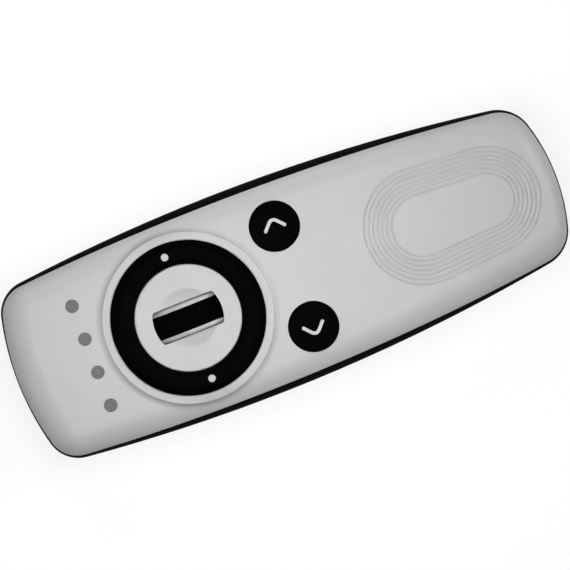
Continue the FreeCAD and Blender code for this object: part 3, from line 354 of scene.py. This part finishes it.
def worked_metal(name, rgb, roughness, grain_scale):
    """Metal with fine marks along one direction and a few dull patches."""
    finish = Finish(name)
    marks = finish.noise(1.0, detail=3, place=finish.stretched(grain_scale))
    patches = finish.noise(350, detail=3)
    base = finish.mixed(finish.ranged(patches, 0, 1), shade(rgb, 0.86), shade(rgb, 1.08))
    rough = finish.ranged(marks, roughness - 0.08, roughness + 0.1)
    return finish.surface(Base_Color=base, Metallic=1.0, Roughness=rough,
                          Normal=finish.bump(marks, 0.000004, 0.6))


def board_laminate(name):
    """Solder resist over copper tracks, which show as slightly raised, lighter lines."""
    finish = Finish(name)
    tracks = finish.add("ShaderNodeTexBrick", {"offset": 0.37}, Vector=finish.place, Scale=160.0,
                        Color1=(0, 0, 0, 1), Color2=(0.1, 0.1, 0.1, 1), Mortar=(1, 1, 1, 1),
                        Mortar_Size=0.035, Brick_Width=0.9, Row_Height=0.22)
    lines = tracks.outputs["Color"]
    base = finish.mixed(lines, (0.006, 0.07, 0.025, 1), (0.02, 0.15, 0.06, 1))
    weave = finish.noise(2500, detail=1)
    normal = finish.bump(lines, 0.00003, 0.7, finish.bump(weave, 0.000005, 0.5))
    return finish.surface(Base_Color=base, Roughness=finish.ranged(weave, 0.28, 0.4),
                          Normal=normal)


def cell_sleeve(name):
    """Plain dark grey film sleeve of a battery cell, with fine lines along it."""
    finish = Finish(name)
    film = finish.noise(1.0, detail=2, place=finish.stretched((300, 4000, 300)))
    base = finish.mixed(finish.ranged(film, 0, 1), (0.05, 0.053, 0.06, 1), (0.07, 0.073, 0.08, 1))
    return finish.surface(Base_Color=base, Roughness=finish.ranged(film, 0.22, 0.34),
                          Metallic=0.35, Normal=finish.bump(film, 0.000003, 0.5))


def dress(material, *names):
    """Gives frame nodes that keep their shape their finish."""
    for name in names:
        for slot in NODES[name].material_slots:
            slot.material = material


# Node trees of shapes

class Shape(Tree):
    """A Geometry Nodes tree; sockets gives the labels of its inputs of each kind."""

    def __init__(self, name, **sockets):
        super().__init__(bpy.data.node_groups.new(name, "GeometryNodeTree"))
        face = self.tree.interface
        face.new_socket("Geometry", in_out="INPUT", socket_type="NodeSocketGeometry")
        for kind, labels in sockets.items():
            for label in labels:
                face.new_socket(label, in_out="INPUT", socket_type=f"NodeSocket{kind}")
        face.new_socket("Geometry", in_out="OUTPUT", socket_type="NodeSocketGeometry")
        self.inputs = self.tree.nodes.new("NodeGroupInput").outputs
        self.output = self.tree.nodes.new("NodeGroupOutput")

    def joined(self, x, y, z):
        return self.add("ShaderNodeCombineXYZ", links={0: x, 1: y, 2: z}).outputs[0]

    def position(self):
        return self.split(self.add("GeometryNodeInputPosition").outputs[0])

    def moved(self, geometry, vector):
        return self.add("GeometryNodeSetPosition", Geometry=geometry, Position=vector).outputs[0]

    def gathered(self, *parts):
        whole = self.add("GeometryNodeJoinGeometry")
        for part in parts:
            self.tree.links.new(part, whole.inputs[0])
        return whole.outputs[0]

    def plotted(self, value, points):
        """Straight stretches through the points, from 0 to 1 both ways."""
        node = self.add("ShaderNodeFloatCurve", Value=value, Factor=1.0)
        line = node.mapping.curves[0].points
        while len(line) < len(points):
            line.new(0.5, 0.5)
        for spot, place in zip(line, points):
            spot.location = place
            spot.handle_type = "VECTOR"
        node.mapping.update()
        return node.outputs[0]

    def turned(self, outline, points_around, points_along):
        """A skin round Z, whose radius and height come from the shares along and around it."""
        grid = self.add("GeometryNodeMeshGrid", Size_X=1.0, Size_Y=1.0, Vertices_X=points_around,
                        Vertices_Y=points_along).outputs["Mesh"]
        x, y, z = self.position()
        around = self.plus(x, 0.5)
        angle = self.times(around, 2 * math.pi)
        radius, height = outline(self.plus(y, 0.5), around)
        skin = self.moved(grid, self.joined(self.times(radius, self.math("COSINE", angle)),
                                            self.times(radius, self.math("SINE", angle)), height))
        return self.add("GeometryNodeMergeByDistance", Geometry=skin,
                        Distance=WELD * 2).outputs[0]

    def finish(self, geometry):
        real = self.add("GeometryNodeRealizeInstances", links={0: geometry}).outputs[0]
        soft = self.add("GeometryNodeSetShadeSmooth", Geometry=real, Shade_Smooth=True).outputs[0]
        final = self.add("GeometryNodeSetMaterial", Geometry=soft,
                         Material=self.inputs["Material"]).outputs[0]
        self.tree.links.new(final, self.output.inputs[0])
        return self.tree


def values_of(group):
    """A group's settings under the labels of a shape's inputs."""
    return {key.replace("_", " ").title(): getattr(group, key) for key in group.__annotations__}


def grown(name, tree, values, points=((0, 0, 0),), edges=()):
    """Runs a shape tree on a few points and returns the result as a plain mesh object."""
    seed = bpy.data.meshes.new(f"{name}_seed")
    seed.from_pydata([tuple(point) for point in points], list(edges), [])
    host = bpy.data.objects.new(f"{name}_host", seed)
    bpy.context.scene.collection.objects.link(host)
    modifier = host.modifiers.new(name, "NODES")
    modifier.node_group = tree
    ids = {item.name: item.identifier for item in tree.interface.items_tree
           if item.in_out == "INPUT"}
    for label, value in values.items():
        modifier[ids[label]] = value
    bpy.context.view_layer.update()
    graph = bpy.context.evaluated_depsgraph_get()
    shaped = host.evaluated_get(graph)
    mesh = bpy.data.meshes.new_from_object(shaped, preserve_all_data_layers=True, depsgraph=graph)
    if not mesh.polygons:
        raise RuntimeError(f"the tree of {name} made no faces")
    mesh.name = name
    bpy.data.objects.remove(host)
    return placed(name, mesh)


def placed(name, data):
    """Puts a mesh, a light or a camera into the scene, at the origin."""
    item = bpy.data.objects.new(name, data)
    bpy.context.scene.collection.objects.link(item)
    return item


def sharpen(piece, degrees):
    """Keeps edges sharper than the angle crisp and shades the rest smooth."""
    made = bmesh.new()
    made.from_mesh(piece.data)
    bmesh.ops.remove_doubles(made, verts=made.verts, dist=WELD)
    limit = math.radians(degrees)
    for edge in made.edges:
        edge.smooth = len(edge.link_faces) != 2 or edge.calc_face_angle(0.0) < limit
    for face in made.faces:
        face.smooth = True
    bmesh.ops.recalc_face_normals(made, faces=made.faces)
    made.to_mesh(piece.data)
    made.free()
    return piece


def lathe(name, stretches, segments=96):
    """A piece of revolution about Z from (radius, height) runs, each run with its own material."""
    made = bmesh.new()
    angles = [2 * math.pi * step / segments for step in range(segments)]
    for slot, run in enumerate(stretches):
        rings = []
        for radius, height in run:
            around = angles if radius > WELD else [0]
            rings.append([made.verts.new((radius * math.cos(angle), radius * math.sin(angle),
                                          height)) for angle in around])
        for low, high in zip(rings, rings[1:]):
            for step in range(segments):
                after = (step + 1) % segments
                corners = [low[step % len(low)], low[after % len(low)],
                           high[after % len(high)], high[step % len(high)]]
                made.faces.new(list(dict.fromkeys(corners))).material_index = slot
    bmesh.ops.remove_doubles(made, verts=made.verts, dist=WELD)
    bmesh.ops.recalc_face_normals(made, faces=made.faces)
    mesh = bpy.data.meshes.new(name)
    made.to_mesh(mesh)
    made.free()
    return sharpen(placed(name, mesh), TURNED_CRISP)


# Shapes that repeat or follow a path

def chevron_tree():
    """A line swept along an arrow's path, with round ends, laid on a button's domed top."""
    shape = Shape("arrow_mark", Vector=("Centre",), Material=("Material",),
                  Float=("Stroke", "Height", "Tip Radius", "Dome Radius", "Dome Top"))
    give = shape.inputs
    half = shape.times(give["Stroke"], 0.5)
    line = shape.add("GeometryNodeMeshToCurve", links={0: give["Geometry"]}).outputs[0]
    bent = shape.add("GeometryNodeFilletCurve", {"mode": "POLY"}, Curve=line,
                     Radius=give["Tip Radius"], Count=10).outputs[0]
    profile = shape.add("GeometryNodeCurvePrimitiveCircle", Resolution=24, Radius=half).outputs[0]
    bar = shape.add("GeometryNodeCurveToMesh", Curve=bent, Profile_Curve=profile,
                    Fill_Caps=True).outputs[0]
    ends = shape.add("GeometryNodeCurveEndpointSelection", links={0: 1, 1: 1}).outputs[0]
    ball = shape.add("GeometryNodeMeshUVSphere", Segments=24, Rings=12, Radius=half).outputs[0]
    caps = shape.add("GeometryNodeInstanceOnPoints", Points=bent, Selection=ends,
                     Instance=ball).outputs[0]
    real = shape.add("GeometryNodeRealizeInstances", links={0: shape.gathered(bar, caps)})
    x, y, z = shape.position()
    across = shape.plus(shape.times(x, x), shape.times(y, y))
    sag = shape.over(across, shape.times(give["Dome Radius"], 2.0))
    thin = shape.over(shape.times(z, give["Height"]), half)
    height = shape.plus(shape.less(give["Dome Top"], sag), thin)
    centre = shape.split(give["Centre"])
    return shape.finish(shape.moved(real.outputs[0], shape.joined(
        shape.plus(x, centre[0]), shape.plus(y, centre[1]), height)))


def tread_tree():
    """A rubber band of rounded section round the wheel, furrowed across at an even pitch."""
    shape = Shape("wheel_tread_ribs", Int=("Rib Count",), Vector=("Centre",),
                  Float=("Rib Depth", "Radius", "Half Width", "Thickness", "Edge Radius"),
                  Material=("Material",))
    give = shape.inputs
    edge = give["Edge Radius"]
    section = shape.add("GeometryNodeCurvePrimitiveQuadrilateral", Width=give["Thickness"],
                        Height=shape.times(give["Half Width"], 2.0)).outputs[0]
    section = shape.add("GeometryNodeFilletCurve", {"mode": "POLY"}, Curve=section, Radius=edge,
                        Count=6).outputs[0]
    section = shape.add("GeometryNodeResampleCurve", {"mode": "COUNT"}, Curve=section,
                        Count=64).outputs[0]
    middle = shape.less(give["Radius"], shape.times(give["Thickness"], 0.5))
    points_per_rib = 8.0
    path = shape.add("GeometryNodeCurvePrimitiveCircle", Radius=middle,
                     Resolution=shape.times(give["Rib Count"], points_per_rib)).outputs[0]
    band = shape.add("GeometryNodeCurveToMesh", Curve=path, Profile_Curve=section).outputs[0]
    x, y, z = shape.position()
    reach = shape.reach(x, y)
    wave = shape.math("COSINE", shape.times(shape.math("ARCTAN2", y, x), give["Rib Count"]))
    furrow = shape.math("POWER", shape.math("MULTIPLY_ADD", wave, 0.5, 0.5), 3.0)
    above = shape.less(reach, shape.less(give["Radius"], edge))
    skin = shape.ranged(above, 0, 1, 0, edge, "SMOOTHSTEP")
    margin = shape.less(give["Half Width"], shape.math("ABSOLUTE", z))
    inner = shape.ranged(margin, 0, 1, *FURROW_END, "SMOOTHSTEP")
    depth = shape.times(shape.times(furrow, give["Rib Depth"]), shape.times(skin, inner))
    ratio = shape.over(shape.less(reach, depth), reach)
    centre = shape.split(give["Centre"])
    return shape.finish(shape.moved(band, shape.joined(
        shape.plus(z, centre[0]), shape.plus(shape.times(y, ratio), centre[1]),
        shape.plus(shape.times(x, ratio), centre[2]))))


def screw_tree():
    """Pan-head screws with a threaded shank and a cross recess, one on each point."""
    shape = Shape("pan_head_screws", Rotation=("Turn",), Material=("Material",),
                  Float=("Head Radius", "Head Height", "Shank Radius", "Length", "Thread Pitch",
                         "Thread Depth", "Recess Span", "Recess Width", "Recess Depth"))
    give = shape.inputs

    def head_outline(along, around):
        wide = shape.plotted(along, [
            (0, 0), (0.07, 0.5), (0.21, 0.97), (0.29, 1), (0.36, 1), (0.5, 0.97), (0.64, 0.86),
            (0.79, 0.62), (0.93, 0.3), (1, 0)])
        rise = shape.plotted(along, [
            (0, 0), (0.07, 0), (0.21, 0), (0.29, 0.05), (0.36, 0.4), (0.5, 0.68), (0.64, 0.85),
            (0.79, 0.95), (0.93, 0.99), (1, 1)])
        return shape.times(wide, give["Head Radius"]), shape.times(rise, give["Head Height"])

    def shank_outline(along, around):
        down = shape.times(along, give["Length"])
        turns = shape.less(shape.over(down, give["Thread Pitch"]), around)
        ridge = shape.times(shape.math("PINGPONG", turns, 0.5), 2.0)
        taper = shape.math("POWER", shape.ranged(along, 1.0, 0.0, 0.86, 1.0), 0.6)
        thread = shape.less(give["Shank Radius"], shape.times(ridge, give["Thread Depth"]))
        return shape.times(thread, taper), shape.times(down, -1.0)

    head = shape.turned(head_outline, points_around=49, points_along=15)
    shank = shape.turned(shank_outline, points_around=25, points_along=97)
    deep = shape.times(give["Recess Depth"], 2.0)
    span, width = give["Recess Span"], give["Recess Width"]
    arms = []
    for size in (shape.joined(span, width, deep), shape.joined(width, span, deep)):
        arm = shape.add("GeometryNodeMeshCube", Size=size).outputs[0]
        lift = shape.joined(0.0, 0.0, give["Head Height"])
        arms.append(shape.add("GeometryNodeTransform", Geometry=arm, Translation=lift).outputs[0])
    recessed = shape.add("GeometryNodeMeshBoolean", {"operation": "DIFFERENCE", "solver": "EXACT"},
                         Mesh_1=head, Mesh_2=shape.gathered(*arms),
                         Self_Intersection=True).outputs[0]
    return shape.finish(shape.add("GeometryNodeInstanceOnPoints", Points=give["Geometry"],
                                  Instance=shape.gathered(recessed, shank),
                                  Rotation=give["Turn"]).outputs[0])


# One step for each piece or group of like pieces

class REMOTE_OT_case(Operator):
    """Finishes the grey upper case, the black lower case and the battery cover"""
    bl_idname = "remote.finish_case"
    bl_label = "Case"

    def execute(self, context):
        finish = context.scene.remote_finish
        face = moulded_plastic("face_plastic_satin", finish.face_colour, finish.face_roughness,
                               finish.face_gloss, finish.grain_height,
                               relief=[(grip_ripple, finish.ripple_height),
                                       (lambda tree: collar_foot(tree, finish.foot_width),
                                        finish.foot_height)])
        case = moulded_plastic("base_plastic_satin", finish.case_colour, finish.case_roughness,
                               finish.case_gloss, finish.grain_height * 1.6, mottle=0.2)
        dress(face, "top_shell")
        dress(case, "bottom_shell", "battery_cover")
        return {"FINISHED"}


class REMOTE_OT_press_ring(Operator):
    """Finishes the black press ring and its two white dots"""
    bl_idname = "remote.finish_press_ring"
    bl_label = "Press ring"

    def execute(self, context):
        finish = context.scene.remote_finish
        ring = moulded_plastic("ring_plastic_black", finish.key_colour, finish.key_roughness,
                               finish.key_gloss, finish.grain_height * 0.5, mottle=0.2)
        mark = moulded_plastic("mark_plastic_white", finish.dot_colour, 0.5, 0.3,
                               finish.grain_height * 0.5)
        dress(ring, "press_ring")
        dress(mark, "right_ring_dot", "left_ring_dot")
        return {"FINISHED"}


class REMOTE_OT_centre_disc(Operator):
    """Finishes the fixed grey disc with its finger dish"""
    bl_idname = "remote.finish_centre_disc"
    bl_label = "Centre disc"

    def execute(self, context):
        finish = context.scene.remote_finish
        disc = moulded_plastic("disc_plastic_satin", finish.disc_colour, finish.face_roughness,
                               finish.face_gloss, finish.grain_height * 0.7)
        dress(disc, "centre_disc")
        return {"FINISHED"}


class REMOTE_OT_wheel(Operator):
    """Finishes the scroll wheel's rim, makes its ribbed tread and finishes axle and cradle"""
    bl_idname = "remote.make_wheel"
    bl_label = "Scroll wheel"

    def execute(self, context):
        finish = context.scene.remote_finish
        rim = moulded_plastic("wheel_shoulder_satin", finish.shoulder_colour, 0.35, 0.4,
                              finish.grain_height * 0.4)
        dress(rim, "wheel_rim")
        dress(worked_metal("axle_steel_ground", (0.55, 0.55, 0.56), 0.28, (4000, 200, 4000)),
              "wheel_axle")
        dress(moulded_plastic("frame_plastic_dark", (0.02, 0.02, 0.021), 0.5, 0.3,
                              finish.grain_height, mottle=0.1),
              "wheel_cradle", "control_carrier")
        tread = grown("wheel_tread_ribbed", tread_tree(), {
            **values_of(context.scene.remote_wheel),
            "Centre": (0, RING_CENTRE.y, WHEEL_AXIS_HEIGHT),
            "Material": matt_rubber("wheel_rubber_matt", finish.rubber_colour),
        })
        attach(sharpen(tread, 60), "scroll_wheel")
        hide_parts("wheel_tread")
        return {"FINISHED"}


class REMOTE_OT_arrow_buttons(Operator):
    """Finishes the two arrow buttons and lays a white arrow on each"""
    bl_idname = "remote.make_arrow_buttons"
    bl_label = "Arrow buttons"

    def execute(self, context):
        finish = context.scene.remote_finish
        marks = context.scene.remote_marks
        black = moulded_plastic("button_plastic_black", finish.key_colour, finish.key_roughness,
                                finish.key_gloss, finish.grain_height * 0.5, mottle=0.2)
        white = moulded_plastic("arrow_paint_white", finish.arrow_colour, 0.55, 0.25,
                                finish.grain_height * 0.4)
        tree = chevron_tree()
        for side, sign in (("right", 1), ("left", -1)):
            dress(black, f"{side}_arrow_button")
            tip = sign * (marks.arrow_shift + marks.arrow_rise / 2)
            foot = sign * (marks.arrow_shift - marks.arrow_rise / 2)
            half = marks.arrow_span / 2
            path = [(foot, -half, 0), (tip, 0, 0), (foot, half, 0)]
            arrow = grown(f"{side}_arrow_mark", tree, {
                "Stroke": marks.arrow_stroke,
                "Height": marks.arrow_height,
                "Tip Radius": marks.arrow_bend,
                "Dome Radius": BUTTON_DOME_RADIUS,
                "Dome Top": BUTTON_TOP,
                "Centre": tuple(BUTTON_SPOTS[side]),
                "Material": white,
            }, path, [(0, 1), (1, 2)])
            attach(sharpen(arrow, 60), f"{side}_arrow")
        return {"FINISHED"}


class REMOTE_OT_lamp_windows(Operator):
    """Finishes the four lamp windows, the lamps under them and the pale aerial chip"""
    bl_idname = "remote.finish_lamp_windows"
    bl_label = "Lamp windows"

    def execute(self, context):
        finish = context.scene.remote_finish
        dress(smoked_window("lamp_window_smoked", finish.window_colour), "light_guide")
        dress(moulded_plastic("lamp_resin_pale", (0.8, 0.79, 0.7), 0.3, 0.5, 0.000002),
              "inner_right_lamp", "inner_left_lamp", "outer_right_lamp", "outer_left_lamp",
              "chip_antenna")
        return {"FINISHED"}


class REMOTE_OT_batteries(Operator):
    """Makes the two battery cells and finishes their contacts"""
    bl_idname = "remote.make_batteries"
    bl_label = "Batteries"

    def execute(self, context):
        dress(worked_metal("contact_nickel", (0.66, 0.62, 0.55), 0.26, (900, 900, 5000)),
              "right_battery_contact", "left_battery_contact", "bridge_battery_contact")
        steel = worked_metal("cell_steel", (0.6, 0.6, 0.6), 0.25, (5000, 5000, 600))
        sleeve = cell_sleeve("battery_jacket_film")
        for side, turn in (("right", -90), ("left", 90)):
            low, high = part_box(f"{side}_battery_cell")
            piece = battery_cell(f"{side}_cell_sleeved", (high.x - low.x) / 2, high.y - low.y)
            start = low.y if turn < 0 else high.y
            middle = Vector(((low.x + high.x) / 2, start, (low.z + high.z) / 2))
            piece.data.transform(Matrix.Translation(middle)
                                 @ Matrix.Rotation(math.radians(turn), 4, "X"))
            for material in (steel, sleeve, steel):
                piece.data.materials.append(material)
            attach(piece, "housing")
            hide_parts(f"{side}_battery_cell")
        return {"FINISHED"}


def battery_cell(name, radius, span):
    """A cell standing on Z: steel base, film sleeve wrapped over both rims, and a raised pole."""
    edge = 0.0006
    film = 0.00005
    pole = 0.0019
    dent = 0.0003
    top = span - 0.0009
    base = [(0, dent / 3), (radius - edge * 2.4, dent / 3), (radius - edge * 2.2, dent),
            (radius - edge * 1.5, dent)]
    low_rim = [(radius - edge * 1.5, dent), (radius - edge * 1.2, 0), (radius - edge, 0)]
    arc = [(radius - edge + edge * math.sin(step * math.pi / 12),
            edge - edge * math.cos(step * math.pi / 12)) for step in range(1, 7)]
    far_arc = [(reach, top - height) for reach, height in reversed(arc)]
    sleeve = low_rim + arc + far_arc + [(radius - edge, top), (radius - edge * 1.3, top - film)]
    cap = [(radius - edge * 1.3, top - film), (radius - edge * 1.5, top - edge * 0.6),
           (pole + edge * 1.4, top - edge * 0.6), (pole + edge * 0.5, top - edge * 0.2),
           (pole, top + edge * 0.3), (pole, span - edge * 0.4), (pole - edge * 0.3, span),
           (0, span)]
    return lathe(name, [base, sleeve, cap])


class REMOTE_OT_screws(Operator):
    """Makes the case screws, whose heads show from below, and the board screws"""
    bl_idname = "remote.make_screws"
    bl_label = "Screws"

    def execute(self, context):
        sizes = context.scene.remote_screws
        steel = worked_metal("screw_zinc", (0.42, 0.42, 0.43), 0.3, (2500, 2500, 2500))
        tree = screw_tree()
        for kind, turn in (("shell", (math.pi, 0, 0)), ("board", (0, 0, 0))):
            names = [f"{kind}_screw_{number}" for number in range(1, 5)]
            boxes = [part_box(name) for name in names]
            spots = []
            for low, high in boxes:
                seat = low.z + sizes.head_height if turn[0] else high.z - sizes.head_height
                spots.append(((low.x + high.x) / 2, (low.y + high.y) / 2, seat))
            low, high = boxes[0]
            screws = grown(f"{kind}_screws", tree, {
                **values_of(sizes),
                "Length": high.z - low.z - sizes.head_height,
                "Turn": turn,
                "Material": steel,
            }, spots)
            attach(sharpen(screws, 35), "housing")
            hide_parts(*names)
        return {"FINISHED"}


class REMOTE_OT_key_domes(Operator):
    """Makes the six soft silicone domes that sit under the keys"""
    bl_idname = "remote.make_key_domes"
    bl_label = "Key domes"

    def execute(self, context):
        silicone = moulded_plastic("dome_silicone_grey", (0.42, 0.42, 0.41), 0.6, 0.35, 0.000008)
        for side in ("right", "left"):
            joints = {"ring": "press_ring_rock", "wheel": "wheel_press",
                      "arrow": f"{side}_arrow_press"}
            for key, joint in joints.items():
                low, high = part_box(f"{side}_{key}_dome")
                height = high.z - low.z
                foot = Vector(((low.x + high.x) / 2, (low.y + high.y) / 2, low.z))
                outline = dome_outline((high.x - low.x) / 2, height)
                piece = lathe(f"{side}_{key}_dome_soft", [outline], segments=64)
                piece.data.transform(Matrix.Translation(foot))
                piece.data.materials.append(silicone)
                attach(piece, "housing")
                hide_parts(f"{side}_{key}_dome")
                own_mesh(piece)
        return {"FINISHED"}


def dome_outline(radius, height):
    """Half section of a key dome: hollow foot, flange, sloping web and plunger."""
    flange = 0.0004
    plunger = 0.0017
    wall = 0.00045
    hollow = height - wall * 2
    bend = 0.00012
    return [(0, hollow), (plunger - wall, hollow), (plunger, 0), (radius, 0),
            (radius, flange - bend), (radius - bend, flange), (plunger + wall, flange),
            (plunger, height - flange), (plunger, height - bend), (plunger - bend, height),
            (0, height)]


class REMOTE_OT_electronics(Operator):
    """Finishes the circuit board and its chips"""
    bl_idname = "remote.finish_electronics"
    bl_label = "Electronics"

    def execute(self, context):
        dress(board_laminate("board_laminate_resist"), "circuit_board")
        dress(moulded_plastic("chip_resin_black", (0.012, 0.012, 0.013), 0.6, 0.3, 0.00001,
                              mottle=0.2), "control_chip", "wheel_sensor")
        dress(worked_metal("shield_tin", (0.62, 0.62, 0.6), 0.3, (1200, 6000, 1200)),
              "radio_module")
        return {"FINISHED"}


class REMOTE_OT_studio(Operator):
    """Sets up the pale floor, the soft lights and the camera"""
    bl_idname = "remote.make_studio"
    bl_label = "Studio"

    def execute(self, context):
        studio = context.scene.remote_studio
        context.scene.view_settings.view_transform = "Standard"
        self.lay_floor(studio)
        self.fill_room(context.scene, studio)
        self.hang_lights(studio)
        self.set_camera(context.scene, studio)
        return {"FINISHED"}

    def lay_floor(self, studio):
        made = bmesh.new()
        bmesh.ops.create_grid(made, x_segments=2, y_segments=2, size=FLOOR_REACH)
        mesh = bpy.data.meshes.new("floor")
        made.to_mesh(mesh)
        made.free()
        mesh.materials.append(self.floor_material(studio))
        floor = placed("floor", mesh)

    def floor_material(self, studio):
        """Pale where it is looked at, shadows kept, with a softer bounce onto the remote."""
        material = bpy.data.materials.new("floor_pale")
        material.use_nodes = True
        tree = Tree(material.node_tree)
        matt = tree.add("ShaderNodeBsdfDiffuse", Color=grey(studio.floor_shade)).outputs[0]
        glow = tree.add("ShaderNodeEmission", Color=grey(studio.floor_white)).outputs[0]
        shown = tree.add("ShaderNodeAddShader", links={0: matt, 1: glow}).outputs[0]
        dim = tree.add("ShaderNodeBsdfDiffuse", Color=grey(studio.floor_bounce)).outputs[0]
        tree.add("ShaderNodeOutputMaterial", Surface=where_seen(tree, shown, dim))
        return material

    def fill_room(self, scene, studio):
        """White where it is seen, plain soft light from all round elsewhere."""
        scene.world = bpy.data.worlds.new("studio_room")
        scene.world.use_nodes = True
        tree = Tree(scene.world.node_tree)
        height = tree.split(tree.add("ShaderNodeTexCoord").outputs["Generated"])[2]
        fall = tree.ranged(height, 1.0, studio.ambient, 0.35, 0.75)
        shown = tree.add("ShaderNodeBackground", Color=fall).outputs[0]
        soft = tree.add("ShaderNodeBackground", Strength=studio.ambient).outputs[0]
        tree.add("ShaderNodeOutputWorld", Surface=where_seen(tree, shown, soft))

    def hang_lights(self, studio):
        """One soft light overhead and four low ones, strongest to the right and past the grip."""
        self.hang_light("top", studio.top_power, studio.top_size,
                        Vector((0, studio.top_offset, studio.top_height)), Vector((0, 0, 1)))
        azimuths = {"right": 0, "left": 180, "grip": -90, "lamp": 90}
        for power, (name, azimuth) in zip(studio.side_power, azimuths.items()):
            around = Matrix.Rotation(math.radians(azimuth), 4, "Z")
            towards = around @ Matrix.Rotation(studio.side_tilt, 4, "Y") @ Vector((0, 0, 1))
            self.hang_light(name, power, studio.side_size, towards * studio.side_distance, towards)

    def hang_light(self, name, power, size, spot, towards):
        lamp = bpy.data.lights.new(f"{name}_light", "AREA")
        lamp.size = size
        lamp.energy = power
        light = placed(f"{name}_light", lamp)
        facing = towards.to_track_quat("Z", "Y").to_matrix().to_4x4()
        light.matrix_world = Matrix.Translation(spot) @ facing
        light.visible_camera = False

    def set_camera(self, scene, studio):
        """Looks almost straight down, turned as the remote lies in the picture."""
        data = bpy.data.cameras.new("camera")
        data.lens = studio.lens
        data.sensor_width = SENSOR_WIDTH
        distance = studio.frame_width * data.lens / data.sensor_width
        data.clip_end = CAMERA_SIGHT
        scene.camera = placed("camera", data)
        turn = Matrix.Rotation(math.atan2(PICTURE_RIGHT[1], PICTURE_RIGHT[0]), 4, "Z")
        lean = Matrix.Rotation(studio.view_tilt, 4, "Y") @ Matrix.Translation((0, 0, distance))
        scene.camera.matrix_world = Matrix.Translation(PICTURE_CENTRE) @ lean @ turn


def grey(value):
    return (value, value, value, 1.0)


def where_seen(tree, shown, hidden):
    """The first shader for rays of sight, of gloss and through glass, else the second."""
    path = tree.add("ShaderNodeLightPath").outputs
    seen = tree.math("MAXIMUM", path["Is Camera Ray"], path["Is Glossy Ray"])
    seen = tree.math("MAXIMUM", seen, path["Is Transmission Ray"])
    return tree.add("ShaderNodeMixShader", links={0: seen, 1: hidden, 2: shown}).outputs[0]


STEPS = (
    REMOTE_OT_case,
    REMOTE_OT_press_ring,
    REMOTE_OT_centre_disc,
    REMOTE_OT_wheel,
    REMOTE_OT_arrow_buttons,
    REMOTE_OT_lamp_windows,
    REMOTE_OT_batteries,
    REMOTE_OT_screws,
    REMOTE_OT_key_domes,
    REMOTE_OT_electronics,
    REMOTE_OT_studio,
)


class REMOTE_PT_panel(Panel):
    """Lists the sizes, colours and steps of the remote control"""
    bl_idname = "REMOTE_PT_panel"
    bl_label = "Smart Remote Control"
    bl_space_type = "VIEW_3D"
    bl_region_type = "UI"
    bl_category = "Remote"

    def draw(self, context):
        for name, group in SETTINGS.items():
            box = self.layout.box()
            box.label(text=name.replace("_", " ").title())
            for key in group.__annotations__:
                box.prop(getattr(context.scene, name), key)
        for step in STEPS:
            self.layout.operator(step.bl_idname)


CLASSES = (*SETTINGS.values(), *STEPS, REMOTE_PT_panel)


def register():
    for item in CLASSES:
        bpy.utils.register_class(item)
    for name, group in SETTINGS.items():
        setattr(bpy.types.Scene, name, PointerProperty(type=group))


def unregister():
    for name in SETTINGS:
        delattr(bpy.types.Scene, name)
    for item in reversed(CLASSES):
        bpy.utils.unregister_class(item)


def main():
    bpy.context.view_layer.update()
    register()
    for step in STEPS:
        group, action = step.bl_idname.split(".")
        getattr(getattr(bpy.ops, group), action)()
    bpy.context.view_layer.update()


if __name__ == "__main__":
    main()
